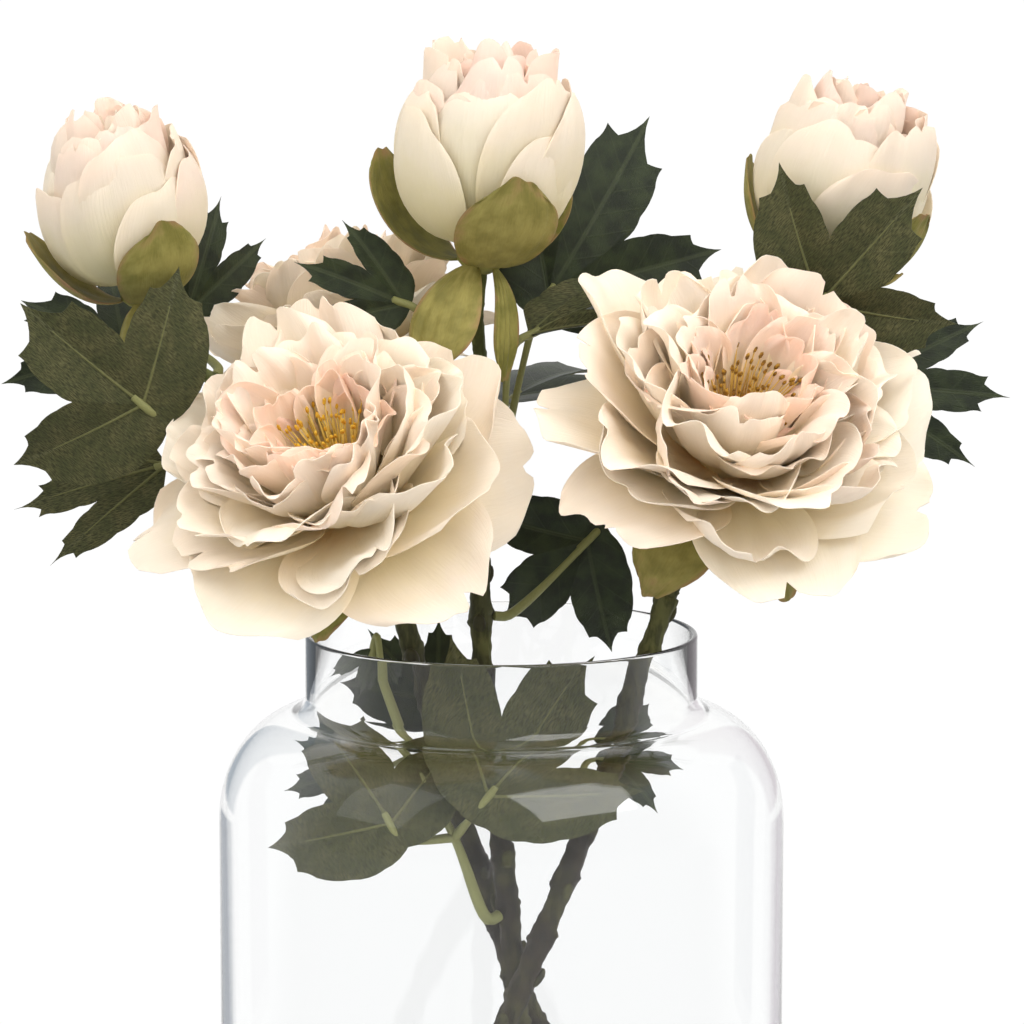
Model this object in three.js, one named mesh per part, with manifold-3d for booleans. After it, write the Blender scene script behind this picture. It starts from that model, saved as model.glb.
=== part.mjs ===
// Silk peonies in a glass jar. Three woody sprays stand in a clear jar with
// round shoulders and a short straight neck. Each spray carries one open bloom,
// one bud and lobed leaves on slender petioles.
// Millimetres, +Z up. The jar's axis is Z and its foot stands on z = 0. The
// front, which two of the blooms face, is -Y.
import * as THREE from "three";
import { mergeVertices } from "three/addons/utils/BufferGeometryUtils.js";
import Module from "manifold-3d";

const wasm = await Module();
wasm.setup();

// ---------------------------------------------------------------- materials
const GLASS = new THREE.MeshStandardMaterial({ color: 0xe6eeee, roughness: 0.05 });
GLASS.transparent = true;
GLASS.opacity = 0.3;
const PETAL = new THREE.MeshStandardMaterial({ color: 0xf3e7d5, roughness: 0.85 });
const STAMEN = new THREE.MeshStandardMaterial({ color: 0xd9a92c, roughness: 0.7 });
const SEPAL = new THREE.MeshStandardMaterial({ color: 0x8f9350, roughness: 0.8 });
const LEAF = new THREE.MeshStandardMaterial({ color: 0x39452a, roughness: 0.75 });
const STEM = new THREE.MeshStandardMaterial({ color: 0x4a4d33, roughness: 0.65 });

// -------------------------------------------------------------------- sizes
const JAR = {
  height: 250,
  bodyRadius: 91,
  neckRadius: 63,
  wall: 2,
  floor: 9,
  neckFoot: 229.5, // where the straight neck begins to flare
  shoulderTop: 225,
  shoulderFoot: 190, // where the round shoulder meets the straight body
  footCorner: 10,
  sides: 26,
};
const PETAL_THICK = 0.7;
const LEAF_THICK = 0.8;
const GAP = 0.3; // left between pieces that stand on each other
const SLIVER = 0.08; // edges shorter than this are smoothed away after joining

// -------------------------------------------------------------- small tools
const degrees = THREE.MathUtils.degToRad;
const point = (p) => new THREE.Vector3(...p);
const curveThrough = (points) => new THREE.CatmullRomCurve3(points, false, "centripetal");

// A seeded source of random numbers from low to high.
function seeded(seed) {
  let state = seed;
  return (low, high) => {
    state = (state * 1664525 + 1013904223) % 4294967296;
    return low + ((high - low) * state) / 4294967296;
  };
}

// A closed geometry as a solid that can be joined to others.
function solid(geometry) {
  const bare = new THREE.BufferGeometry();
  bare.setAttribute("position", geometry.getAttribute("position"));
  bare.setIndex(geometry.index);
  const merged = mergeVertices(bare, 1e-4);
  const mesh = new wasm.Mesh({
    numProp: 3,
    vertProperties: merged.getAttribute("position").array,
    triVerts: new Uint32Array(merged.index.array),
  });
  return new wasm.Manifold(mesh);
}

// One named mesh of the geometries joined, without the slivers and loose scraps
// that joining leaves.
function joined(name, geometries, material) {
  const whole = wasm.Manifold.union(geometries.map(solid)).simplify(SLIVER);
  const body = whole.decompose().reduce((best, next) => (next.volume() > best.volume() ? next : best));
  const { vertProperties, triVerts } = body.getMesh();
  const geometry = new THREE.BufferGeometry();
  geometry.setAttribute("position", new THREE.BufferAttribute(new Float32Array(vertProperties), 3));
  geometry.setIndex(new THREE.BufferAttribute(new Uint32Array(triVerts), 1));
  geometry.computeVertexNormals();
  const mesh = new THREE.Mesh(geometry, material);
  mesh.name = name;
  return mesh;
}

// A body of revolution about Z from [radius, height] pairs.
function turned(outline, sides, scale = 1) {
  const profile = outline.map(([r, z]) => new THREE.Vector2(r * scale, z * scale));
  return new THREE.LatheGeometry(profile, sides).rotateX(Math.PI / 2);
}

// A closed round limb along a curve, with its radius given for 0 to 1 along it.
function limbGeometry({ curve, radiusAt, sides, steps }) {
  const geometry = new THREE.CylinderGeometry(1, 1, 1, sides, steps);
  const frames = curve.computeFrenetFrames(steps, false);
  const position = geometry.getAttribute("position");
  for (let i = 0; i < position.count; i++) {
    const station = Math.round((position.getY(i) + 0.5) * steps);
    const radius = radiusAt(station / steps);
    const at = curve
      .getPointAt(station / steps)
      .addScaledVector(frames.binormals[station], position.getX(i) * radius)
      .addScaledVector(frames.normals[station], position.getZ(i) * radius);
    position.setXYZ(i, at.x, at.y, at.z);
  }
  return geometry;
}

// A thin plate about surface(s, t), s from -1 to 1 across it and t from 0 to 1
// along it. Both faces are split into triangles alike.
function plate(surface, across, along, thick) {
  const vertices = [];
  const step = 1e-3;
  for (const side of [0.5, -0.5]) {
    for (let j = 0; j <= along; j++) {
      for (let i = 0; i <= across; i++) {
        const s = -1 + (2 * i) / across;
        const t = j / along;
        const acrossWay = surface(s + step, t).sub(surface(s - step, t));
        const alongWay = surface(s, t + step).sub(surface(s, t - step));
        const normal = acrossWay.cross(alongWay).normalize();
        vertices.push(...surface(s, t).addScaledVector(normal, side * thick));
      }
    }
  }
  const row = across + 1;
  const far = row * (along + 1); // the first vertex of the second face
  const faces = [];
  for (let j = 0; j < along; j++) {
    for (let i = 0; i < across; i++) {
      const a = j * row + i;
      const [b, c, d] = [a + 1, a + row + 1, a + row];
      faces.push(a, b, c, a, c, d, far + a, far + c, far + b, far + a, far + d, far + c);
    }
  }
  const rim = [];
  for (let i = 0; i < across; i++) rim.push(i);
  for (let j = 0; j < along; j++) rim.push(j * row + across);
  for (let i = across; i > 0; i--) rim.push(along * row + i);
  for (let j = along; j > 0; j--) rim.push(j * row);
  rim.forEach((a, k) => {
    const b = rim[(k + 1) % rim.length];
    faces.push(a, far + b, b, a, far + a, far + b);
  });
  const geometry = new THREE.BufferGeometry();
  geometry.setAttribute("position", new THREE.Float32BufferAttribute(vertices, 3));
  geometry.setIndex(faces);
  return geometry;
}

// ---------------------------------------------------------------------- jar
// Blown glass, one piece: heavy floor, straight body, round shoulders, a small
// flare and a short neck with a polished rim.
function jar() {
  const { height, bodyRadius, neckRadius, wall, floor, footCorner } = JAR;
  const footRadius = bodyRadius - footCorner;
  const shoulder = (inset) =>
    [0, 28, 56, 84].map((turn) => [
      neckRadius + (bodyRadius - neckRadius - inset) * Math.cos(degrees(turn)),
      JAR.shoulderFoot + (JAR.shoulderTop - JAR.shoulderFoot - inset) * Math.sin(degrees(turn)),
    ]);
  const flare = (inset) => [
    [neckRadius - inset + 0.6, JAR.shoulderTop + 2.5 - inset * 0.4],
    [neckRadius - inset, JAR.neckFoot],
  ];
  const foot = [0, 45, 90].map((turn) => [
    footRadius + footCorner * Math.sin(degrees(turn)),
    footCorner - footCorner * Math.cos(degrees(turn)),
  ]);
  const rim = [
    [neckRadius, height - wall / 2],
    [neckRadius - 0.3 * wall, height],
    [neckRadius - 0.7 * wall, height],
    [neckRadius - wall, height - wall / 2],
  ];
  const inside = [
    ...flare(wall).reverse(),
    ...shoulder(wall).reverse(),
    [bodyRadius - wall, floor + footCorner],
    [footRadius, floor],
    [0, floor],
  ];
  const outline = [[0, 0], ...foot, ...shoulder(0), ...flare(0), ...rim, ...inside];
  return joined("glass_jar", [turned(outline, JAR.sides)], GLASS);
}

// ------------------------------------------------------------------- petals
// One petal in its flower's frame, whose axis is +Z. Its middle line leans from
// the axis by three angles, at root, middle and tip. Across, it wraps round the
// axis, is cupped a little more, and is ruffled towards its tip. It is rolled so
// that one edge lies over its neighbour.
const CLAW = 0.15; // root width as a share of the full width
const WIDEST = 0.7; // where along the petal it is widest
const TIP_WIDTH = 0.78; // tip width as a share of the full width
const TIP_ROUND = 0.24; // how far the tip's corners fall back
const LINE_STEPS = 12;
const MIN_TURN_RADIUS = 8; // a petal wraps no tighter than this

function petalSurface(petal) {
  const [root, middle, tip] = petal.lean;
  const bend = 4 * middle - 3 * root - tip;
  const curl = 2 * root + 2 * tip - 4 * middle;
  const leanAt = (t) => degrees(root + bend * t + curl * t * t);
  return (s, t) => {
    const reach = t * (1 - TIP_ROUND * Math.abs(s) ** 2.4 * t);
    let [r, z] = petal.root;
    for (let k = 0; k < LINE_STEPS; k++) {
      const lean = leanAt((reach * (k + 0.5)) / LINE_STEPS);
      r += (Math.sin(lean) * petal.length * reach) / LINE_STEPS;
      z += (Math.cos(lean) * petal.length * reach) / LINE_STEPS;
    }
    const swell = CLAW + (1 - CLAW) * Math.sin((Math.PI / 2) * Math.min(1, t / WIDEST));
    const past = Math.max(0, (t - WIDEST) / (1 - WIDEST));
    const side = 0.5 * s * petal.width * swell * (1 - (1 - TIP_WIDTH) * past ** 2);
    const turn = petal.azimuth + side / Math.max(r, MIN_TURN_RADIUS);
    const ruffle = petal.ruffle * t * t * Math.sin(petal.waves * Math.PI * s + petal.phase);
    const inwards = (side * side) / (2 * petal.cup) + side * Math.sin(petal.roll) + ruffle;
    r -= Math.cos(leanAt(reach)) * inwards;
    z += Math.sin(leanAt(reach)) * inwards;
    return new THREE.Vector3(r * Math.cos(turn), r * Math.sin(turn), z);
  };
}

const petalPlate = (petal) => plate(petalSurface(petal), ...petal.grid, PETAL_THICK);

// The petals of one ring. "wild" from 0 to 1 is how much each differs from the rest.
const LEAN_PLAY = [2, 3, 9]; // degrees, at root, middle and tip
function ringOfPetals(ring, scale, wild, draw) {
  const petals = [];
  for (let i = 0; i < ring.count; i++) {
    petals.push({
      azimuth: degrees(ring.turn + ((i + draw(-0.16, 0.16)) * 360) / ring.count),
      length: scale * ring.length * (1 + wild * draw(-0.1, 0.06)),
      width: scale * ring.width * (1 + wild * draw(-0.1, 0.1)),
      lean: ring.lean.map((lean, k) => lean + wild * LEAN_PLAY[k] * draw(-1, 1)),
      root: ring.root.map((size) => size * scale),
      cup: scale * ring.cup,
      ruffle: scale * ring.ruffle * draw(0.5, 1.3),
      waves: draw(1.2, 2.2),
      phase: draw(0, 2 * Math.PI),
      roll: degrees(ring.roll + draw(-3, 3)),
      grid: ring.grid,
    });
  }
  return petals;
}

// -------------------------------------------------------------- open blooms
// From the spreading guard petals in to the small ones round the stamens. Root
// is [radius, height] on the core; lengths are for a bloom of scale 1.
const GUARDS = { count: 7, turn: 0, length: 53, width: 52, lean: [80, 78, 98], root: [10.5, 3] };
const OUTER = { count: 6, turn: 24, length: 49, width: 50, lean: [62, 56, 76], root: [10.5, 6] };
const INNER = { count: 5, turn: 3, length: 44, width: 46, lean: [42, 34, 50], root: [10.5, 9] };
const HEART = { count: 4, turn: 38, length: 37, width: 34, lean: [22, 14, 28], root: [10.5, 12] };
const BLOOM_RINGS = [
  { ...GUARDS, cup: 200, ruffle: 2, roll: 8, grid: [3, 3] },
  { ...OUTER, cup: 120, ruffle: 1.6, roll: 8, grid: [2, 3] },
  { ...INNER, cup: 100, ruffle: 1.2, roll: 8, grid: [2, 3] },
  { ...HEART, cup: 100, ruffle: 1, roll: 8, grid: [2, 2] },
];
const BLOOM_CORE = { outline: [[0, 0], [9, 0], [12.5, 4], [12.5, 15], [0, 15]], top: 15 };

function bloomPetals(name, scale, draw) {
  const petals = BLOOM_RINGS.flatMap((ring) => ringOfPetals(ring, scale, 1, draw));
  const core = turned(BLOOM_CORE.outline, 8, scale);
  return joined(name, [core, ...petals.map(petalPlate)], PETAL);
}

// A boss of fine filaments in a spiral on a low dome.
const STAMENS = { count: 20, length: 15, radius: 0.8, spread: 5.2, splay: 0.3 };
const STAMEN_DOME = [[0, 0], [7, 0], [5, 2.4], [0, 3.4]];
const GOLDEN_ANGLE = 137.5;

function bloomStamens(name, scale, draw) {
  const parts = [turned(STAMEN_DOME, 8)];
  for (let i = 0; i < STAMENS.count; i++) {
    const share = Math.sqrt((i + 0.5) / STAMENS.count);
    const length = STAMENS.length * draw(0.8, 1.1);
    const filament = new THREE.ConeGeometry(STAMENS.radius, length, 3)
      .rotateX(Math.PI / 2)
      .translate(0, 0, length / 2)
      .rotateY(STAMENS.splay * share)
      .translate(STAMENS.spread * share, 0, STAMENS.radius)
      .rotateZ(degrees(i * GOLDEN_ANGLE));
    parts.push(filament);
  }
  const mesh = joined(name, parts, STAMEN);
  mesh.geometry.scale(scale, scale, scale).translate(0, 0, BLOOM_CORE.top * scale + GAP);
  return mesh;
}

// The green cup behind a bloom, with sepals that hang back from it.
const BACK_SEPALS = { count: 5, turn: 20, length: 41, width: 20, lean: [100, 122, 134], root: [6, -4] };
const BLOOM_SEPALS = { ...BACK_SEPALS, cup: 80, ruffle: 0, roll: 0, grid: [2, 3] };
const BLOOM_CUP = [[0, -12], [3.6, -12], [7.5, -6], [8, -GAP], [0, -GAP]];

function bloomCalyx(name, scale, draw) {
  const sepals = ringOfPetals(BLOOM_SEPALS, scale, 1, draw);
  return joined(name, [turned(BLOOM_CUP, 8, scale), ...sepals.map(petalPlate)], SEPAL);
}

// --------------------------------------------------------------------- buds
// Broad petals wrapped in a ball, and narrow ones that stand out of its mouth.
const WRAPS = { count: 4, turn: 0, length: 74, width: 58, lean: [98, 16, -34], root: [5, 3] };
const LININGS = { count: 3, turn: 30, length: 70, width: 50, lean: [84, 8, -16], root: [5, 6] };
const TUFTS = { count: 3, turn: 62, length: 60, width: 34, lean: [60, 4, 0], root: [4, 9] };
const BUD_RINGS = [
  { ...WRAPS, cup: 300, ruffle: 0.6, roll: 5, grid: [3, 4] },
  { ...LININGS, cup: 300, ruffle: 1, roll: 6, grid: [2, 3] },
  { ...TUFTS, cup: 300, ruffle: 1.4, roll: 7, grid: [2, 2] },
];
const BUD_CORE = [[0, 0], [9, 0], [12.5, 5], [9, 24], [6, 44], [0, 47]];
const HUG_SEPALS = { count: 3, turn: 45, length: 52, width: 36, lean: [98, 39, 6], root: [6.5, -5] };
const BUD_SEPALS = { ...HUG_SEPALS, cup: 300, ruffle: 0, roll: 0, grid: [2, 3] };
const BUD_CUP = [[0, -9], [3, -9], [8, -5], [8, -GAP], [0, -GAP]];
const BRACT = { root: [4, -5], cup: 40, ruffle: 0, waves: 1, phase: 0, roll: 0, grid: [2, 3] };

function budPetals(name, scale, draw) {
  const petals = BUD_RINGS.flatMap((ring) => ringOfPetals(ring, scale, 0.5, draw));
  return joined(name, [turned(BUD_CORE, 8, scale), ...petals.map(petalPlate)], PETAL);
}

// The cup under a bud, sepals that hug the ball, and leafy bracts that hang.
function budCalyx(name, scale, bracts, draw) {
  const sepals = ringOfPetals(BUD_SEPALS, scale, 0.3, draw);
  for (const bract of bracts) sepals.push({ ...BRACT, ...bract, azimuth: degrees(bract.azimuth) });
  return joined(name, [turned(BUD_CUP, 8, scale), ...sepals.map(petalPlate)], SEPAL);
}

// ------------------------------------------------------------------- leaves
// A lobed leaf about the point where its petiole joins, its main rib along +X.
// Each entry is an angle from that rib and a reach, as a share of the length:
// tips, teeth and the clefts between the lobes.
const LEAF_OUTLINE = [
  [0, 1], [10, 0.8], [19, 0.78], [26, 0.5], [36, 0.7], [50, 0.95],
  [61, 0.74], [72, 0.68], [92, 0.4], [140, 0.2],
];
const LOBES = [0, 50, -50];
const LARGE_LEAF = 54; // longer leaves are arched along their length too
const LEAF_FOLD = 0.3; // how steeply the blade rises from each rib
const LEAF_ARCH = 0.25; // how far the tips droop

function leafOutline(spread) {
  const left = LEAF_OUTLINE.map(([turn, reach]) => [turn * spread, reach]);
  const right = left.slice(1).reverse().map(([turn, reach]) => [-turn, reach * 0.95]);
  return [...left, ...right];
}

function leafHeight(leaf, x, y) {
  const reach = Math.hypot(x, y);
  const turn = THREE.MathUtils.radToDeg(Math.atan2(y, x)) / leaf.spread;
  const fromRib = Math.min(...LOBES.map((lobe) => Math.abs(turn - lobe)));
  const fold = leaf.fold ?? LEAF_FOLD;
  const rise = reach * Math.sin(degrees(Math.min(fromRib * leaf.spread, 60))) * fold;
  return rise - (LEAF_ARCH * reach * reach) / leaf.length;
}

function leafBlade(leaf) {
  const outline = leafOutline(leaf.spread);
  const rings = leaf.length > LARGE_LEAF ? [0.5, 1] : [1];
  const vertices = [];
  for (const side of [0.5, -0.5]) {
    vertices.push(0, 0, side * LEAF_THICK);
    for (const share of rings) {
      for (const [turn, reach] of outline) {
        const x = share * reach * leaf.length * Math.cos(degrees(turn));
        const y = share * reach * leaf.length * Math.sin(degrees(turn));
        vertices.push(x, y, leafHeight(leaf, x, y) + side * LEAF_THICK);
      }
    }
  }
  const n = outline.length;
  const far = 1 + n * rings.length; // the first vertex of the underside
  const faces = [];
  for (let i = 0; i < n; i++) {
    const j = (i + 1) % n;
    faces.push(0, 1 + i, 1 + j, far, far + 1 + j, far + 1 + i);
    for (let ring = 1; ring < rings.length; ring++) {
      const [a, b] = [1 + (ring - 1) * n + i, 1 + (ring - 1) * n + j];
      const [c, d] = [a + n, b + n];
      faces.push(a, c, d, a, d, b, far + a, far + d, far + c, far + a, far + b, far + d);
    }
    const [c, d] = [far - n + i, far - n + j];
    faces.push(c, far + c, far + d, c, far + d, d);
  }
  const geometry = new THREE.BufferGeometry();
  geometry.setAttribute("position", new THREE.Float32BufferAttribute(vertices, 3));
  geometry.setIndex(faces);
  return geometry;
}

// Lays a leaf's own frame at its point, along its main rib, with its face turned out.
function leafMatrix({ at, toward, facing }) {
  const x = point(toward).normalize();
  const z = point(facing).projectOnPlane(x).normalize();
  return new THREE.Matrix4().makeBasis(x, z.clone().cross(x), z).setPosition(...at);
}

// A leaf has one blade, or several on a common rachis. Its petiole leaves a limb
// square to it and runs on a little way under each blade.
const PETIOLE = { radius: 1.3, sides: 4, steps: 3, stub: 5, before: 6, under: 4 };

function leaf(spec, limbs) {
  const blades = spec.blades ?? [spec];
  const limb = limbs[spec.on];
  const first = point(spec.rachis ? spec.rachis[0] : spec.at);
  const axis = limb.curve.getPointAt(spec.along);
  const out = first.sub(axis).projectOnPlane(limb.curve.getTangentAt(spec.along)).normalize();
  const start = axis.addScaledVector(out, limb.radiusAt(spec.along) + 2 * GAP);
  const stub = start.clone().addScaledVector(out, PETIOLE.stub);
  const parts = [];
  const stalk = (points, thicker) => {
    const radiusAt = () => PETIOLE.radius * thicker;
    parts.push(limbGeometry({ ...PETIOLE, curve: curveThrough(points), radiusAt }));
  };
  let from = [start, stub];
  if (spec.rachis) {
    stalk([start, stub, ...spec.rachis.map(point)], 1.2);
    from = [point(spec.rachis.at(-1))];
  }
  for (const blade of blades) {
    parts.push(leafBlade(blade).applyMatrix4(leafMatrix(blade)));
    const rib = point(blade.toward).normalize();
    const before = point(blade.at).addScaledVector(rib, -PETIOLE.before);
    const under = point(blade.at).addScaledVector(rib, PETIOLE.under);
    stalk([...(blade.from ? [point(blade.from)] : from), before, under], 1);
  }
  return joined(spec.name, parts, LEAF);
}

// -------------------------------------------------------------------- stems
// A woody main stem with swollen joints and bud scales, forked into two stalks.
const STEM_RADIUS = { foot: 3.9, fork: 3.2, stalk: 2.3 };
const JOINTS = 7;
const JOINT_SWELL = 0.22;
const BUD_SCALE = { radius: 2.2, length: 7, lean: 0.35 };

function stemRadius(t) {
  const swell = 1 + JOINT_SWELL * Math.cos(2 * Math.PI * JOINTS * t) ** 4;
  return THREE.MathUtils.lerp(STEM_RADIUS.foot, STEM_RADIUS.fork, t) * swell;
}

function sprayLimbs(spray) {
  const stalk = (flower, cup, steps) => {
    const axis = point(flower.axis).normalize();
    const end = point(flower.at).addScaledVector(axis, -(cup * flower.scale + GAP));
    const before = end.clone().addScaledVector(axis, -14);
    const points = [point(spray.fork), ...flower.via.map(point), before, end];
    return { curve: curveThrough(points), radiusAt: () => STEM_RADIUS.stalk, sides: 5, steps };
  };
  const main = curveThrough([...spray.main, spray.fork].map(point));
  return {
    main: { curve: main, radiusAt: stemRadius, sides: 6, steps: 3 * JOINTS },
    bloomStalk: stalk(spray.bloom, -BLOOM_CUP[0][1], 6),
    budStalk: stalk(spray.bud, -BUD_CUP[0][1], 8),
  };
}

function budScale(main, joint) {
  const t = (joint + 0.1) / JOINTS;
  const alongStem = new THREE.Quaternion();
  alongStem.setFromUnitVectors(new THREE.Vector3(0, 1, 0), main.curve.getTangentAt(t));
  return new THREE.ConeGeometry(BUD_SCALE.radius, BUD_SCALE.length, 3)
    .translate(0, BUD_SCALE.radius, 0)
    .rotateZ(-BUD_SCALE.lean)
    .translate(main.radiusAt(t) * 0.75, 0, 0)
    .rotateY(degrees(joint * GOLDEN_ANGLE))
    .applyQuaternion(alongStem)
    .translate(...main.curve.getPointAt(t));
}

function stem(name, limbs) {
  const parts = Object.values(limbs).map(limbGeometry);
  for (let joint = 1; joint < JOINTS; joint++) parts.push(budScale(limbs.main, joint));
  return joined(name, parts, STEM);
}

// ------------------------------------------------------------------- sprays
// Where each spray stands, forks and flowers. A flower stands "at" the foot of
// its petals; its stalk runs from the fork by way of the points in "via".
const SPRAYS = {
  left: {
    main: [[54, 24, 10.8], [30, 18, 70], [7, 13, 128], [-10, 11, 178], [-23, 4, 222]],
    fork: [-33, -2, 262],
    bloom: { at: [-47, -34, 296], axis: [-0.25, -0.62, 0.74], via: [], scale: 1.05, seed: 16 },
    bud: {
      at: [-115, 3, 362],
      axis: [-0.17, -0.1, 1],
      via: [[-62, 9, 302], [-93, 8, 331]],
      scale: 0.85,
      seed: 47,
      bracts: [
        { azimuth: 250, length: 30, width: 13, lean: [120, 165, 175] },
        { azimuth: 330, length: 26, width: 10, lean: [110, 150, 165] },
      ],
    },
  },
  middle: {
    main: [[15, -34, 10.8], [9, -14, 70], [5, -1, 128], [-1, 1, 190], [-6, 9, 235]],
    fork: [-7, 13, 272],
    bloom: { at: [-47, 47, 327], axis: [-0.35, 0.36, 0.87], via: [[-18, 26, 298]], scale: 0.9, seed: 23 },
    bud: {
      at: [-6, 2, 374],
      axis: [0.08, -0.06, 1],
      via: [[-5, 12, 318]],
      scale: 0.97,
      seed: 52,
      bracts: [
        { azimuth: 240, length: 44, width: 24, lean: [110, 150, 172] },
        { azimuth: 320, length: 40, width: 12, lean: [125, 172, 178] },
      ],
    },
  },
  right: {
    main: [[-42, 14, 10.8], [-20, 1, 70], [3, -13, 128], [22, -11, 175], [40, -6, 222]],
    fork: [53, -3, 262],
    bloom: { at: [70, -30, 308], axis: [0.2, -0.62, 0.76], via: [], scale: 1.09, seed: 27 },
    bud: {
      at: [103, 12, 369],
      axis: [0.26, -0.08, 0.96],
      via: [[74, 14, 302], [91, 16, 338]],
      scale: 0.88,
      seed: 50,
      bracts: [
        { azimuth: 200, length: 30, width: 12, lean: [95, 120, 170] },
        { azimuth: 20, length: 26, width: 10, lean: [100, 80, 40] },
      ],
    },
  },
};

// Every leaf: the limb that it grows on and how far along, the point where its
// petiole joins the blade, the way its main rib points and the way its face looks.
const LEAVES = {
  left: [
    {
      name: "leaf_left_front",
      on: "budStalk", along: 0.62,
      at: [-112, -29, 327], toward: [-0.76, -0.2, 0.62], facing: [0.1, -1, -0.1],
      length: 48, spread: 1.35,
    },
    {
      name: "leaf_left_low",
      on: "bloomStalk", along: 0.35,
      at: [-107, 2, 304], toward: [-0.97, -0.05, -0.24], facing: [0, -1, 0.3],
      length: 52, spread: 0.5,
    },
    {
      name: "leaf_left_behind_bud",
      on: "budStalk", along: 0.72,
      at: [-102, 32, 350], toward: [0.3, 0.15, 0.95], facing: [0.2, -1, 0.2],
      length: 40, spread: 0.6,
    },
    {
      name: "leaf_left_far",
      on: "budStalk", along: 0.62,
      at: [-122, 27, 335], toward: [-0.8, 0.2, 0.55], facing: [0, -0.8, 0.6],
      length: 42, spread: 0.9,
    },
    {
      name: "leaf_left_neck",
      on: "main", along: 0.74,
      at: [-22, 17, 221], toward: [-0.6, 0.05, 0.8], facing: [0.25, -1, 0.1],
      length: 34, spread: 0.85,
    },
  ],
  middle: [
    {
      name: "leaf_jar_front",
      on: "main", along: 0.57,
      rachis: [[-15, -16, 186], [-29, -17, 214], [-38, -14, 234]],
      blades: [
        {
          from: [-15, -16, 186],
          at: [-4, -27, 202], toward: [0.6, -0.05, 0.8], facing: [0, -1, 0.15],
          length: 54, spread: 1.05,
        },
        {
          from: [-15, -16, 186],
          at: [-35, -22, 192], toward: [-0.54, 0.05, 0.84], facing: [0, -1, 0.2],
          length: 42, spread: 1.4,
        },
        {
          from: [-29, -17, 214],
          at: [-42, -4, 207], toward: [-0.96, 0, -0.25], facing: [0, -1, 0.3],
          length: 30, spread: 0.7,
        },
        {
          at: [-41, -9, 245], toward: [-0.22, 0.3, -0.93], facing: [0.1, -1, -0.3],
          length: 22, spread: 0.7,
        },
      ],
    },
    {
      name: "leaf_behind_middle_bud",
      on: "budStalk", along: 0.35,
      at: [15, 38, 355], toward: [0.53, 0.24, 0.82], facing: [0.2, -1, 0.1],
      length: 72, spread: 0.85,
    },
    {
      name: "leaf_middle_left",
      on: "budStalk", along: 0.5,
      at: [-31, -5, 356], toward: [-0.86, -0.26, 0.43], facing: [0.1, -0.9, 0.3],
      length: 36, spread: 0.7,
    },
    {
      name: "leaf_middle_curled",
      on: "budStalk", along: 0.2,
      at: [9, 3, 345], toward: [0.84, 0.12, 0.5], facing: [-0.3, -0.5, 0.9],
      length: 42, spread: 0.5, fold: 0.8,
    },
    {
      name: "leaf_back_high",
      on: "bloomStalk", along: 0.5,
      at: [4, 66, 318], toward: [0.5, 0.75, 0.3], facing: [0.2, 0.3, 1],
      length: 50, spread: 1,
    },
    {
      name: "leaf_centre_back",
      on: "main", along: 0.93,
      at: [28, 26, 276], toward: [-0.5, 0.1, -0.5], facing: [0, -1, 0.1],
      length: 42, spread: 1.1,
    },
  ],
  right: [
    {
      name: "leaf_right_front",
      on: "budStalk", along: 0.9,
      at: [100, -20, 358], toward: [0.6, -0.35, 0.72], facing: [0.1, -1, 0.2],
      length: 47, spread: 1.2,
    },
    {
      name: "leaf_right_far",
      on: "budStalk", along: 0.3,
      at: [113, 12, 328], toward: [1, 0, -0.03], facing: [0.1, -1, 0.3],
      length: 52, spread: 0.6,
    },
    {
      name: "leaf_right_back",
      on: "budStalk", along: 0.15,
      at: [66, 60, 306], toward: [0.5, 0.8, 0.2], facing: [0.3, 0.2, 1],
      length: 52, spread: 1,
    },
    {
      name: "leaf_jar_right",
      on: "main", along: 0.7,
      at: [34, 14, 208], toward: [0.9, 0.2, -0.1], facing: [0, -0.8, 0.6],
      length: 28, spread: 0.9,
    },
  ],
};

// A group that stands at a flower's foot with its +Z along the flower's axis.
function flowerGroup(flower, meshes) {
  const group = new THREE.Group();
  group.position.set(...flower.at);
  group.quaternion.setFromUnitVectors(new THREE.Vector3(0, 0, 1), point(flower.axis).normalize());
  group.add(...meshes);
  return group;
}

function sprayGroup(side) {
  const { bloom, bud } = SPRAYS[side];
  const limbs = sprayLimbs(SPRAYS[side]);
  const bloomDraw = seeded(bloom.seed);
  const budDraw = seeded(bud.seed);
  const bloomMeshes = [
    bloomPetals(`bloom_${side}_petals`, bloom.scale, bloomDraw),
    bloomStamens(`bloom_${side}_stamens`, bloom.scale, bloomDraw),
    bloomCalyx(`bloom_${side}_calyx`, bloom.scale, bloomDraw),
  ];
  const budMeshes = [
    budPetals(`bud_${side}_petals`, bud.scale, budDraw),
    budCalyx(`bud_${side}_calyx`, bud.scale, bud.bracts, budDraw),
  ];
  const group = new THREE.Group();
  group.add(stem(`stem_${side}`, limbs), flowerGroup(bloom, bloomMeshes), flowerGroup(bud, budMeshes));
  for (const spec of LEAVES[side]) group.add(leaf(spec, limbs));
  return group;
}

const peonies = new THREE.Group();
peonies.add(jar());
for (const side of Object.keys(SPRAYS)) peonies.add(sprayGroup(side));

export default peonies;
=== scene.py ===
# Silk peonies in a clear glass jar: three woody sprays, each with an open bloom, a
# bud and lobed leaves. Sizes below are in millimetres unless they say otherwise; the
# meshes are in metres. The jar stands on z = 0 about the Z axis and its front is -Y.
import math

import bmesh
import bpy
import numpy as np
from mathutils import Matrix, Vector


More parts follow.
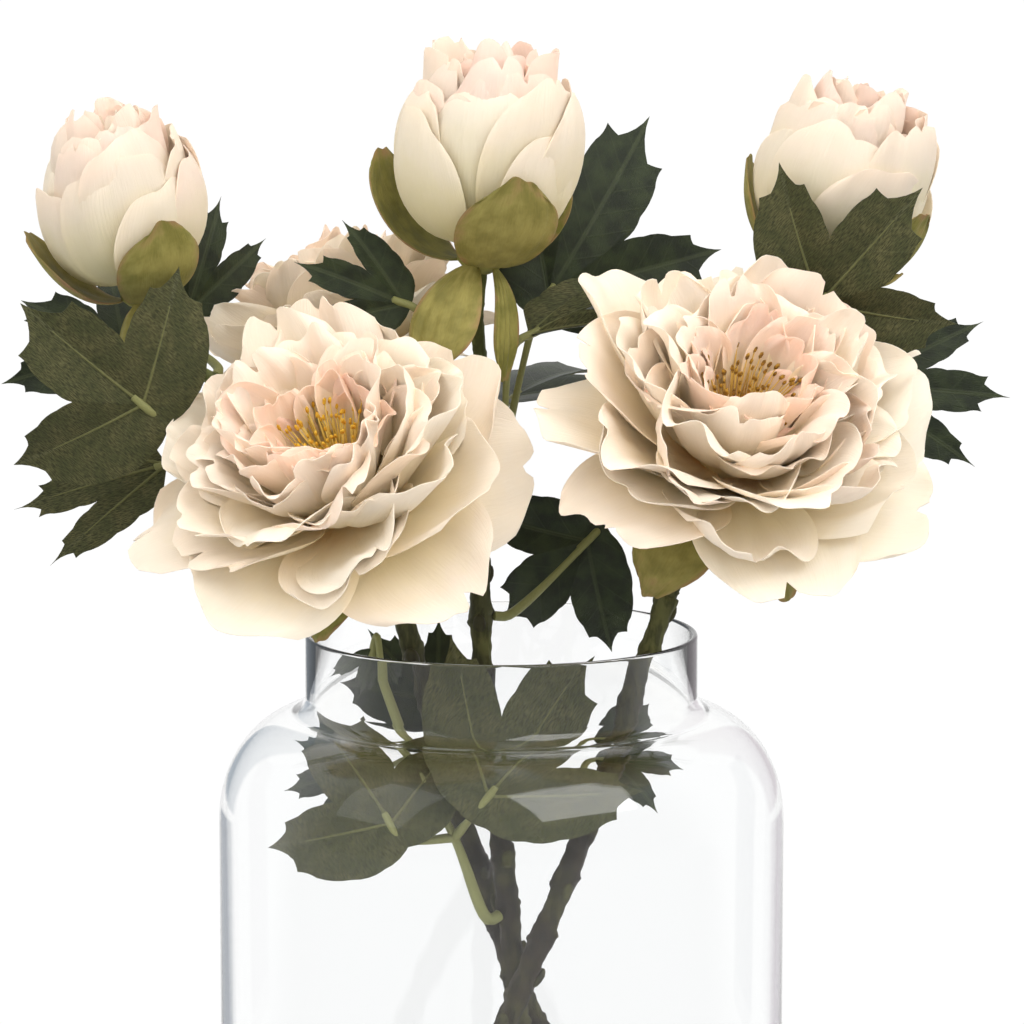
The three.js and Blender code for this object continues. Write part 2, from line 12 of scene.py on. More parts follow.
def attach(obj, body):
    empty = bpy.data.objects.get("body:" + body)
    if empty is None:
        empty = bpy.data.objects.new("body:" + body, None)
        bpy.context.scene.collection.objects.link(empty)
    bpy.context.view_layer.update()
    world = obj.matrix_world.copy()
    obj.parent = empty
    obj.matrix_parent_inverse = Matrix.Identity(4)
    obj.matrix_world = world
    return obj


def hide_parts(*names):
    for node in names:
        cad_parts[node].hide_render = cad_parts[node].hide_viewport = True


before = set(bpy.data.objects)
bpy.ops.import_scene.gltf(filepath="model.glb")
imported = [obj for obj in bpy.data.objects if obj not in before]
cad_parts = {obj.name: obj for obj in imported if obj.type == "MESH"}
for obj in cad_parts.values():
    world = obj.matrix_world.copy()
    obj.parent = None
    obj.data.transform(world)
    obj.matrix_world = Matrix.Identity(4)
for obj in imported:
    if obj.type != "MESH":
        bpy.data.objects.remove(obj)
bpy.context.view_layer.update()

# ------------------------------ room
# A white photographer's table that runs into a white wall, with one big softbox in
# front and to the right, a weaker one to the left, and grey cards beside the table
# that only the glass sees, to draw its edges.


def srgb(red, green, blue):
    """A colour picked as 0 to 255 values, made linear, the way that light adds up."""
    linear = [c / 255 / 12.92 if c < 11 else ((c / 255 + 0.055) / 1.055) ** 2.4 for c in (red, green, blue)]
    return (*linear, 1)


def add(tree, kind, inputs=(), **settings):
    """A new node with its settings made, and its inputs linked or given values."""
    node = tree.nodes.new(kind)
    for key, value in settings.items():
        setattr(node, key, value)
    for key, value in dict(inputs).items():
        if isinstance(value, bpy.types.NodeSocket):
            tree.links.new(value, node.inputs[key])
        else:
            node.inputs[key].default_value = value
    return node


def math_of(tree, operation, *values):
    return add(tree, "ShaderNodeMath", dict(enumerate(values)), operation=operation).outputs[0]


def times(tree, first, second):
    return math_of(tree, "MULTIPLY", first, second)


def blend_of(tree, share, first, second, kind="MIX"):
    """Two colours blended by a share from 0 to 1."""
    mix = {0: share, 6: first, 7: second}
    return add(tree, "ShaderNodeMix", mix, data_type="RGBA", blend_type=kind).outputs[2]


def ramp_of(tree, value, *stops):
    """Colours along a value from 0 to 1, from (place, colour) stops."""
    node = add(tree, "ShaderNodeValToRGB", {0: value})
    points = node.color_ramp.elements
    while len(points) < len(stops):
        points.new(0.5)
    for point, (place, colour) in zip(points, stops):
        point.position = place
        point.color = colour
    return node.outputs[0]


def smooth_step(tree, value, start, end):
    node = add(tree, "ShaderNodeMapRange", {0: value, 1: start, 2: end}, interpolation_type="SMOOTHSTEP")
    return node.outputs[0]


def turn_to(tree, value, start, end, first, second):
    """One colour that turns to another between two levels of a value."""
    return blend_of(tree, smooth_step(tree, value, start, end), first, second)


def new_finish(name, **constants):
    """A finish with its shader's fixed values set on the shader's own sockets."""
    material = bpy.data.materials.new(name)
    material.use_nodes = True
    shader = material.node_tree.nodes["Principled BSDF"]
    for socket, value in constants.items():
        shader.inputs[socket.replace("_", " ")].default_value = value
    return material, material.node_tree, shader


def link(tree, output, socket):
    tree.links.new(output, socket)


def place_of(tree):
    """Where a point is, in metres, or the way that a ray of the world looks."""
    return add(tree, "ShaderNodeTexCoord").outputs["Object"]


def in_scene(name, data):
    made = bpy.data.objects.new(name, data)
    bpy.context.scene.collection.objects.link(made)
    return made


PHOTO_CENTRE = Vector((0.0034, 0, 0.2889))
CAMERA_HEIGHT = math.radians(8)
CAMERA_DISTANCE = 1.5

camera = in_scene("camera", bpy.data.cameras.new("camera"))
camera.data.lens = 164.8
camera.data.sensor_width = 36
to_camera = Vector((0, -math.cos(CAMERA_HEIGHT), math.sin(CAMERA_HEIGHT)))
camera.location = PHOTO_CENTRE + CAMERA_DISTANCE * to_camera
camera.rotation_mode = "QUATERNION"
camera.rotation_quaternion = (-to_camera).to_track_quat("-Z", "Y")
bpy.context.scene.camera = camera
bpy.context.scene.view_settings.view_transform = "Standard"

# What the camera sees behind everything, itself or through the glass, is white. The
# room on the camera's side is dim, so the front of the glass mirrors little of it.
WHITE = 1.02
DIM = 0.1
GLOW = 1.05
TURNS_WHITE = (-0.35, 0.25)
world = bpy.data.worlds.new("room")
bpy.context.scene.world = world
world.use_nodes = True
sky = world.node_tree
path = add(sky, "ShaderNodeLightPath").outputs
seen = math_of(sky, "MAXIMUM", path["Is Camera Ray"], path["Is Transmission Ray"])
way = add(sky, "ShaderNodeSeparateXYZ", {0: place_of(sky)}).outputs["Y"]
mirrored = {0: smooth_step(sky, way, *TURNS_WHITE), 3: DIM, 4: WHITE}
mirrored = add(sky, "ShaderNodeMapRange", mirrored).outputs[0]
wall, mirror, glow = (
    add(sky, "ShaderNodeBackground", {"Color": colour, "Strength": strength}).outputs[0]
    for colour, strength in (((1, 1, 1, 1), WHITE), ((1, 1, 1, 1), mirrored), (srgb(255, 250, 241), GLOW))
)
room = add(sky, "ShaderNodeMixShader", {0: path["Is Glossy Ray"], 1: glow, 2: mirror}).outputs[0]
both = add(sky, "ShaderNodeMixShader", {0: seen, 1: room, 2: wall})
link(sky, both.outputs[0], sky.nodes["World Output"].inputs["Surface"])

LAMPS_LOOK_AT = Vector((0, 0, 0.28))


def softbox(name, turn, height, distance, size, power, shines):
    """A rectangular lamp that looks at the flowers from an angle round and above them.
    The glass mirrors it if it shines."""
    lamp = in_scene(name, bpy.data.lights.new(name, "AREA"))
    lamp.data.shape = "RECTANGLE"
    lamp.data.size, lamp.data.size_y = size
    lamp.data.energy = power
    turn, height = math.radians(turn), math.radians(height)
    out = math.cos(height)
    way = Vector((math.sin(turn) * out, -math.cos(turn) * out, math.sin(height)))
    lamp.location = LAMPS_LOOK_AT + distance * way
    lamp.rotation_euler = (-way).to_track_quat("-Z", "Y").to_euler()
    lamp.visible_glossy = shines


softbox("softbox_right", 40, 46, 1.3, (0.95, 0.75), 6, True)
softbox("softbox_left", -58, 38, 1.6, (0.9, 1.1), 3.5, False)


def sheet(name, corners, finish):
    """A flat rectangle in the room, which is no part of the object."""
    mesh = bpy.data.meshes.new(name)
    mesh.from_pydata(corners, [], [(0, 1, 2, 3)])
    mesh.materials.append(finish)
    made = in_scene(name, mesh)
    return made


# Matt white by the jar, where it takes the soft shadow, and full white further out,
# though it throws less light than that on the flowers' undersides.
FLOOR_HALF = 3.0
FLOOR_Z = -0.0004
FLOOR_GLOW = 0.3
MATT_TO, WHITE_FROM = 0.16, 0.42
floor_white, tree, shader = new_finish("floor_white", Base_Color=srgb(246, 246, 246), Roughness=0.9)
place = place_of(tree)
away = add(tree, "ShaderNodeVectorMath", {0: place}, operation="LENGTH").outputs["Value"]
path = add(tree, "ShaderNodeLightPath").outputs
behind = smooth_step(tree, add(tree, "ShaderNodeSeparateXYZ", {0: place}).outputs["Y"], -0.1, 0.2)
mirrored = times(tree, path["Is Glossy Ray"], behind)
seen = math_of(tree, "MAXIMUM", path["Is Camera Ray"], path["Is Transmission Ray"])
seen = math_of(tree, "MAXIMUM", seen, mirrored)
strength = add(tree, "ShaderNodeMapRange", {0: seen, 3: FLOOR_GLOW, 4: WHITE}).outputs[0]
lit = add(tree, "ShaderNodeEmission", {"Color": (1, 1, 1, 1), "Strength": strength})
far = smooth_step(tree, away, MATT_TO, WHITE_FROM)
mixed = add(tree, "ShaderNodeMixShader", {0: far, 1: shader.outputs[0], 2: lit.outputs[0]})
link(tree, mixed.outputs[0], tree.nodes["Material Output"].inputs["Surface"])
around = ((-1, -1), (1, -1), (1, 1), (-1, 1))
sheet("floor", [(x * FLOOR_HALF, y * FLOOR_HALF, FLOOR_Z) for x, y in around], floor_white)


def card(name, shade, start, end, low, high):
    """A flat card that only the glass sees, standing on edge between two floor points. It
    glows in its own shade, so that the lamps don't change the edge that it draws."""
    dark = {"Base_Color": (0, 0, 0, 1), "Specular_IOR_Level": 0.0}
    finish, _, _ = new_finish(name, Emission_Color=shade, Emission_Strength=1.0, **dark)
    made = sheet(name, [(*start, low), (*end, low), (*end, high), (*start, high)], finish)
    made.visible_camera = made.visible_diffuse = made.visible_shadow = False


card("card_neck_left", srgb(180, 188, 196), (-0.42, 1.25), (-0.95, 1.0), 0.05, 1.2)
card("card_neck_right", srgb(226, 220, 224), (0.42, 1.25), (0.95, 1.0), 0.05, 1.2)
card("card_body_left", srgb(186, 190, 196), (-0.19, 0.35), (-0.34, 0.3), 0.0, 0.13)
card("card_body_right", srgb(226, 222, 226), (0.19, 0.35), (0.34, 0.3), 0.0, 0.13)

# ------------------------------ jar
# Clear blown glass in one piece: a heavy floor, a straight body, round shoulders, a
# slight flare under a short straight neck, and a fire-polished rim.
JAR_HEIGHT = 250
BODY_RADIUS = 91
NECK_RADIUS = 63
WALL = 2
JAR_FLOOR = 9
NECK_FOOT = 229.5
SHOULDER_TOP = 225
SHOULDER_FOOT = 190
FOOT_CORNER = 10
INNER_CORNER = 7.6
INNER_FOOT = 80
BASE_FLAT = 75
JAR_SIDES = 160
MM = 0.001


def arc(steps, first, last):
    return [first + (last - first) * k / steps for k in range(steps + 1)]


def shoulder_line(inset):
    rise, run = SHOULDER_TOP - SHOULDER_FOOT - inset, BODY_RADIUS - NECK_RADIUS - inset
    turns = [math.radians(a) for a in arc(20, 0, 84)]
    return [(NECK_RADIUS + run * math.cos(a), SHOULDER_FOOT + rise * math.sin(a)) for a in turns]


def flare_line(inset):
    return [(NECK_RADIUS - inset + 0.6, SHOULDER_TOP + 2.5 - inset * 0.4), (NECK_RADIUS - inset, NECK_FOOT)]


def round_corner(r, z, radius, first, last, steps=10):
    """Points of a round corner about its middle, by angles in degrees."""
    turns = map(math.radians, arc(steps, first, last))
    return [(r + radius * math.cos(a), z + radius * math.sin(a)) for a in turns]


def jar_outline():
    foot_radius = BODY_RADIUS - FOOT_CORNER
    half = WALL / 2
    foot = round_corner(foot_radius, FOOT_CORNER, FOOT_CORNER, -90, 0)
    rim = round_corner(NECK_RADIUS - half, JAR_HEIGHT - half, half, 0, 180)
    hollow = round_corner(INNER_FOOT, JAR_FLOOR + INNER_CORNER, INNER_CORNER, 0, -90, 8)
    inside = [*reversed(flare_line(WALL)), *reversed(shoulder_line(WALL)), *hollow]
    return [(BASE_FLAT, 0), *foot, *shoulder_line(0), *flare_line(0), *rim, *inside]


def tube_faces(rings, around):
    """The faces of a tube of rings of points, with fans to two end points after them."""
    row = np.arange(around)
    beside = (row + 1) % around
    starts = [(k * around, (k + 1) * around) for k in range(rings - 1)]
    quads = [np.stack([a + row, a + beside, b + beside, b + row], 1) for a, b in starts]
    first, end = rings * around, (rings - 1) * around
    pairs = list(zip(row.tolist(), beside.tolist()))
    fans = [[first, j, i] for i, j in pairs] + [[first + 1, end + i, end + j] for i, j in pairs]
    return np.vstack(quads).tolist() + fans


def turned(outline, sides):
    """A body of revolution about Z, closed with a point at each end of its outline."""
    ring = np.arange(sides) * 2 * math.pi / sides
    r, z = np.array(outline, float).T
    level = np.repeat(z[:, None], sides, 1)
    points = np.stack([np.outer(r, np.cos(ring)), np.outer(r, np.sin(ring)), level], -1)
    return np.vstack([points.reshape(-1, 3), [[0, 0, z[0]], [0, 0, z[-1]]]]), tube_faces(len(r), sides)


def as_piece(mesh, slot, *nodes):
    """A finished mesh as a piece of the object, which may stand for CAD nodes."""
    piece = in_scene(mesh.name, mesh)
    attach(piece, "root")
    if nodes:
        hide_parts(*nodes)
    return piece


def mark(mesh, key, values):
    """Keeps a value at each vertex, for the finish to read."""
    values = np.full(len(mesh.vertices), values, np.float32)
    mesh.attributes.new(key, "FLOAT", "POINT").data.foreach_set("value", values)


def new_piece(name, vertices, faces, finish, node, slot, marks=(), cloth=None, crease=45):
    """A smooth-shaded piece that stands for a CAD node, from vertices in millimetres.
    "cloth" is each vertex's place on the flat cloth, in metres, kept as the UV map."""
    mesh = bpy.data.meshes.new(name)
    mesh.from_pydata((np.asarray(vertices) * MM).tolist(), [], faces)
    mesh.shade_smooth()
    for key, values in dict(marks).items():
        mark(mesh, key, values)
    if cloth is not None:
        corners = np.zeros(len(mesh.loops), np.int32)
        mesh.loops.foreach_get("vertex_index", corners)
        layer = mesh.uv_layers.new(name="cloth")
        layer.data.foreach_set("uv", np.asarray(cloth, np.float32)[corners].ravel())
    mesh.validate()
    mesh.set_sharp_from_angle(angle=math.radians(crease))
    mesh.materials.append(finish)
    return as_piece(mesh, slot, node)


def noise_of(tree, place, scale, detail=2.0, roughness=0.5):
    sizes = {"Vector": place, "Scale": scale, "Detail": detail, "Roughness": roughness}
    return add(tree, "ShaderNodeTexNoise", sizes).outputs[0]


def emboss(tree, shader, height, strength, depth):
    """Gives a finish relief, from heights and the depth of one unit of them in metres."""
    relief = add(tree, "ShaderNodeBump", {"Height": height, "Strength": strength, "Distance": depth})
    link(tree, relief.outputs[0], shader.inputs["Normal"])


clear_glass, tree, shader = new_finish(
    "clear_glass", Base_Color=(0.98, 0.985, 0.985, 1), Roughness=0.0, IOR=1.47, Transmission_Weight=1.0
)
emboss(tree, shader, noise_of(tree, place_of(tree), 14.0, 1.0), 0.02, 0.001)

vertices, faces = turned(jar_outline(), JAR_SIDES)
jar = new_piece("jar", vertices, faces, clear_glass, "glass_jar", "jar_glass", crease=60)
jar.visible_shadow = False

# ------------------------------ stems
# Woody sprays: a wire-cored main stem wrapped in brown-green bark with swollen
# joints, forked into two green stalks that end under the flowers' cups.


def head_at(at, axis, scale, *via):
    """Where a flower sits, which way it looks, its size, and what its stalk passes."""
    return {"at": at, "axis": axis, "scale": scale, "via": via}


SPRAYS = {
    "left": {
        "main": [(54, 24, 10.8), (30, 18, 70), (7, 13, 128), (-10, 11, 178), (-23, 4, 222)],
        "fork": (-33, -2, 262),
        "bloom": head_at((-47, -34, 296), (-0.25, -0.62, 0.74), 1.05),
        "bud": head_at((-115, 3, 362), (-0.17, -0.1, 1), 0.85, (-62, 9, 302), (-93, 8, 331)),
    },
    "middle": {
        "main": [(15, -34, 10.8), (9, -14, 70), (5, -1, 128), (-1, 1, 190), (-6, 9, 235)],
        "fork": (-7, 13, 272),
        "bloom": head_at((-47, 47, 327), (-0.35, 0.36, 0.87), 0.9, (-18, 26, 298)),
        "bud": head_at((-6, 2, 374), (0.08, -0.06, 1), 0.97, (-5, 12, 318)),
    },
    "right": {
        "main": [(-42, 14, 10.8), (-20, 1, 70), (3, -13, 128), (22, -11, 175), (40, -6, 222)],
        "fork": (53, -3, 262),
        "bloom": head_at((70, -30, 308), (0.2, -0.62, 0.76), 1.09),
        "bud": head_at((103, 12, 369), (0.26, -0.08, 0.96), 0.88, (74, 14, 302), (91, 16, 338)),
    },
}
FOOT_RADIUS = 3.9
FORK_RADIUS = 3.2
STALK_RADIUS = 2.3
JOINTS = 7
JOINT_SWELL = 0.22
DOME = 0.4
GAP = 0.3
CUP_DEPTH = {"bloom": 12, "bud": 9}
STRAIGHT_END = 14
SCAR_WIDTH = 0.12


def curve_through(points, count):
    """Evenly spaced points on a smooth curve that passes through the given ones."""
    p = [np.array(q, float) for q in points]
    p = [2 * p[0] - p[1], *p, 2 * p[-1] - p[-2]]
    line = []
    for a, b, c, d in zip(p, p[1:], p[2:], p[3:]):
        ab, bc, cd = (math.sqrt(np.linalg.norm(v - u)) for u, v in ((a, b), (b, c), (c, d)))
        leave = ((b - a) / ab - (c - a) / (ab + bc) + (c - b) / bc) * bc
        arrive = ((c - b) / bc - (d - b) / (bc + cd) + (d - c) / cd) * bc
        w = np.linspace(0, 1, 40, endpoint=False)[:, None]
        cubic = 2 * b - 2 * c + leave + arrive
        line.append(b + leave * w + (-3 * b + 3 * c - 2 * leave - arrive) * w**2 + cubic * w**3)
    line = np.vstack([*line, p[-2][None]])
    run = np.concatenate([[0], np.cumsum(np.linalg.norm(np.diff(line, axis=0), axis=1))])
    even = np.linspace(0, run[-1], count)
    return np.stack([np.interp(even, run, line[:, k]) for k in range(3)], 1)


def unit(vector):
    vector = np.array(vector, float)
    return vector / np.linalg.norm(vector)


def frames_along(line):
    """A tangent and two square directions at each point, turned as little as can be."""
    tangent = np.gradient(line, axis=0)
    tangent /= np.linalg.norm(tangent, axis=1)[:, None]
    sides = [np.cross(tangent[0], (0.3, 1, 0.1))]
    for way in tangent:
        sides.append(unit(sides[-1] - way * (sides[-1] @ way)))
    sides = np.array(sides[1:])
    return tangent, sides, np.cross(tangent, sides)


def limb(line, radii, around):
    """A closed round limb along a line. Radii are one for each point, or for each
    point and direction round it. It ends in low domes."""
    tangent, side, other = frames_along(line)
    turn = np.arange(around)[None, :, None] * 2 * math.pi / around
    radii = np.broadcast_to(np.reshape(radii, (len(line), -1)), (len(line), around))
    ring = np.cos(turn) * side[:, None] + np.sin(turn) * other[:, None]
    points = (line[:, None] + ring * radii[..., None]).reshape(-1, 3)
    tips = [line[0] - tangent[0] * radii[0, 0] * DOME, line[-1] + tangent[-1] * radii[-1, 0] * DOME]
    return np.vstack([points, tips]), tube_faces(len(line), around)


def flat_part(solid, **values):
    """A closed body as a part to gather, whose cloth lies as it is seen from above."""
    vertices, faces = solid
    return vertices, faces, values, vertices[:, :2] * MM


def gathered(parts):
    """Several (vertices, faces, values, cloth) parts as one, to make one mesh of."""
    vertices, faces, values, cloth, count = [], [], {}, [], 0
    for part_vertices, part_faces, part_values, part_cloth in parts:
        vertices.append(part_vertices)
        faces += [[count + i for i in face] for face in part_faces]
        for key, value in part_values.items():
            values.setdefault(key, []).append(np.broadcast_to(value, len(part_vertices)))
        cloth.append(part_cloth)
        count += len(part_vertices)
    values = {key: np.concatenate(parts) for key, parts in values.items()}
    return np.vstack(vertices), faces, values, np.vstack(cloth)


def bark_relief(line, radii, around, draw):
    """The radii of a limb with lumps, flats and ring scars worked into them."""
    run = np.linspace(0, 1, len(line))[:, None]
    turn = (np.arange(around) * 2 * math.pi / around)[None, :]
    relief = 0
    for waves, lobes, depth in ((9, 2, 0.05), (23, 3, 0.045), (41, 1, 0.03), (67, 4, 0.025)):
        along = 2 * math.pi * (waves * run + draw.random())
        relief += depth * np.sin(along + lobes * turn + draw.random() * 6)
    scars = np.abs(np.sin(math.pi * 2 * JOINTS * run + 0.4 * np.sin(turn + 2 * run)))
    ridge, groove = (np.exp(-(((scars - at) / SCAR_WIDTH) ** 2)) for at in (0, 0.22))
    relief += 0.10 * ridge - 0.05 * groove
    return radii[:, None] * (1 + relief)


def main_radii(share):
    swell = 1 + JOINT_SWELL * np.cos(2 * math.pi * JOINTS * share) ** 4
    return (FOOT_RADIUS + (FORK_RADIUS - FOOT_RADIUS) * share) * swell


def stalk_points(spray, kind):
    """The points that a stalk follows from the fork to the underside of a cup."""
    flower = spray[kind]
    axis = unit(flower["axis"])
    end = np.array(flower["at"]) - axis * (CUP_DEPTH[kind] * flower["scale"] + GAP)
    return [spray["fork"], *flower["via"], end - STRAIGHT_END * axis, end]


def new_group(name, kind, inputs, outputs):
    """An empty node group with named sockets. Gives its given and its made sockets too."""
    group = bpy.data.node_groups.new(name, kind)
    for way, sockets in (("INPUT", inputs), ("OUTPUT", outputs)):
        for socket, held in sockets.items():
            group.interface.new_socket(socket, in_out=way, socket_type="NodeSocket" + held)
    return group, add(group, "NodeGroupInput").outputs, add(group, "NodeGroupOutput").inputs


def bark_group():
    """Fine fissures along a stem: their height, and a mask of where they are deep."""
    sockets = {"Place": "Vector", "Scale": "Float"}, {"Height": "Float", "Deep": "Float"}
    group, given, made = new_group("fine_fissures", "ShaderNodeTree", *sockets)
    long = add(group, "ShaderNodeMapping", {"Vector": given["Place"], "Scale": (1, 1, 0.3)}).outputs[0]
    rough = noise_of(group, long, given["Scale"], 5.0)
    lumps = add(group, "ShaderNodeTexVoronoi", {"Vector": long, "Scale": given["Scale"]})
    link(group, math_of(group, "ADD", rough, lumps.outputs["Distance"]), made["Height"])
    link(group, smooth_step(group, rough, 0.42, 0.62), made["Deep"])
    return group


FISSURES = bark_group()


def group_of(tree, group, inputs):
    return add(tree, "ShaderNodeGroup", inputs, node_tree=group).outputs


def value_of(tree, name):
    return add(tree, "ShaderNodeAttribute", attribute_name=name).outputs["Fac"]


bark, tree, shader = new_finish("bark", Specular_IOR_Level=0.35)
place = place_of(tree)
fissures = group_of(tree, FISSURES, {"Place": place, "Scale": 420.0})
patches = noise_of(tree, place, 70.0, 4.0)
woody = turn_to(tree, patches, 0.4, 0.66, srgb(50, 42, 32), srgb(78, 76, 50))
green = turn_to(tree, patches, 0.35, 0.7, srgb(104, 112, 62), srgb(140, 144, 84))
colour = blend_of(tree, value_of(tree, "green"), woody, green)
dark = blend_of(tree, fissures["Deep"], colour, srgb(40, 36, 26), "MULTIPLY")
link(tree, blend_of(tree, 0.45, colour, dark), shader.inputs["Base Color"])
link(tree, smooth_step(tree, patches, -0.2, 0.9), shader.inputs["Roughness"])
emboss(tree, shader, fissures["Height"], 0.6, 0.0006)


def vector_of(tree, x, y, z):
    return add(tree, "ShaderNodeCombineXYZ", {0: x, 1: y, 2: z}).outputs[0]


def play_of(tree, given, low, high):
    """A random number for each copy."""
    ends = {2: low, 3: high, "Seed": given["Seed"]}
    return add(tree, "FunctionNodeRandomValue", ends, data_type="FLOAT").outputs[1]


def copy_on(tree, given, made, spots, copy, rotation, size):
    """The end of a tree: a copy on each spot, made real, in the finish that is given."""
    spread = {"Points": spots, "Instance": copy, "Rotation": rotation, "Scale": size}
    copies = add(tree, "GeometryNodeInstanceOnPoints", spread).outputs[0]
    real = add(tree, "GeometryNodeRealizeInstances", {"Geometry": copies}).outputs[0]
    last = add(tree, "GeometryNodeSetMaterial", {"Geometry": real, "Material": given["Finish"]}).outputs[0]
    link(tree, last, made["Geometry"])


SPIRAL_STEP = 2.4


def scale_tree():
    """Bud scales in a spiral along a stem's line: small flat shields that lean out."""
    sizes = dict.fromkeys(("Stem Radius", "Scale Length", "Scale Width"), "Float")
    inputs = {"Geometry": "Geometry", "Count": "Int", **sizes, "Seed": "Int", "Finish": "Material"}
    tree, given, made = new_group("bud_scales", "GeometryNodeTree", inputs, {"Geometry": "Geometry"})
    line = add(tree, "GeometryNodeMeshToCurve", {"Mesh": given["Geometry"]}).outputs[0]
    spots = add(tree, "GeometryNodeResampleCurve", {"Curve": line, "Count": given["Count"]}).outputs[0]
    ball = add(tree, "GeometryNodeMeshIcoSphere", {"Radius": 1.0, "Subdivisions": 2}).outputs[0]
    thin = times(tree, given["Scale Width"], 0.35)
    half = times(tree, given["Scale Length"], 0.5)
    wide = times(tree, given["Scale Width"], 0.5)
    size = vector_of(tree, thin, wide, half)
    shift = vector_of(tree, times(tree, given["Stem Radius"], 0.9), 0.0, half)
    leant = {"Geometry": ball, "Translation": shift, "Rotation": (0.0, 0.3, 0.0), "Scale": size}
    shield = add(tree, "GeometryNodeTransform", leant).outputs[0]
    way = add(tree, "GeometryNodeInputTangent").outputs[0]
    upright = add(tree, "FunctionNodeAlignRotationToVector", {"Vector": way}, axis="Z").outputs[0]
    turn = times(tree, add(tree, "GeometryNodeInputIndex").outputs[0], SPIRAL_STEP)
    spin = add(tree, "FunctionNodeAxisAngleToRotation", {"Axis": (0, 0, 1), "Angle": turn}).outputs[0]
    both = add(tree, "FunctionNodeRotateRotation", {0: upright, 1: spin}, rotation_space="LOCAL").outputs[0]
    copy_on(tree, given, made, spots, shield, both, play_of(tree, given, 0.75, 1.25))
    return tree


def grown(name, tree, base, inputs):
    """The plain mesh that a tree of nodes makes on a base mesh."""
    seed = in_scene(name, base)
    modifier = seed.modifiers.new("grown", "NODES")
    modifier.node_group = tree
    for item in tree.interface.items_tree:
        if item.in_out == "INPUT" and item.name in inputs:
            modifier[item.identifier] = inputs[item.name]
    graph = bpy.context.evaluated_depsgraph_get()
    evaluated = seed.evaluated_get(graph)
    mesh = bpy.data.meshes.new_from_object(evaluated, preserve_all_data_layers=True, depsgraph=graph)
    bpy.data.objects.remove(seed)
    mesh.name = name
    mesh.shade_smooth()
    return mesh


SCALES = scale_tree()
STEM_AROUND = 14
STALK_AROUND = 12
TURNS_GREEN, GREEN_RUN = 225, 60
BARK_INSIDE = 0.99
WITH_SCALES = slice(14, -10)
SCALES_EACH = {"Count": 17, "Stem Radius": 0.0036, "Scale Length": 0.0066, "Scale Width": 0.0042}
for number, (side, spray) in enumerate(SPRAYS.items()):
    draw = np.random.default_rng(40 + number)
    main = curve_through([*spray["main"], spray["fork"]], 300)
    relief = bark_relief(main, main_radii(np.linspace(0, 1, len(main))), STEM_AROUND, draw)
    solid = limb(main, relief, STEM_AROUND)
    parts = [flat_part(solid, green=np.clip((solid[0][:, 2] - TURNS_GREEN) / GREEN_RUN, 0, 0.35))]
    for kind in CUP_DEPTH:
        line = curve_through(stalk_points(spray, kind), 70)
        radii = STALK_RADIUS * (1 + 0.35 * np.linspace(1, 0, len(line)) ** 6)
        relief = bark_relief(line, radii, STALK_AROUND, draw) * BARK_INSIDE
        solid = limb(line, relief, STALK_AROUND)
        from_fork = np.linalg.norm(solid[0] - line[0], axis=1)
        parts.append(flat_part(solid, green=np.clip(from_fork / 40, 0.3, 1)))
    vertices, faces, marks, cloth = gathered(parts)
    new_piece(f"spray_{side}_wood", vertices, faces, bark, f"stem_{side}", "stem", marks, cloth, 80)

    thread = bpy.data.meshes.new("thread")
    inside = main[WITH_SCALES]
    thread.from_pydata((inside * MM).tolist(), [(k, k + 1) for k in range(len(inside) - 1)], [])
    shields = grown(f"spray_{side}_scales", SCALES, thread, {**SCALES_EACH, "Seed": number, "Finish": bark})
    mark(shields, "green", 0.15)
    as_piece(shields, "stem")

# ------------------------------ petals
# Silk satin petals, cut with waved and nicked edges, heat-pressed into cups and
# creases, dyed ivory with a blush on some tips, and threaded in rings on a core.
# The peach at the roots is partly dye and partly painted warm shade deep in the cup.
CLAW = 0.15
WIDEST = 0.66
TIP_CLOSED = 0.45
SEPAL_TIP_CLOSED = 0.8
TIP_ROUND = 0.14
MIN_TURN_RADIUS = 8
CURL_FROM, CURL_RUN = 0.72, 0.28
PETAL_THICK = 0.55
PETAL_EDGE = 0.22
EDGE_STEEPNESS = 4.5
ACROSS = 26
ALONG = 18


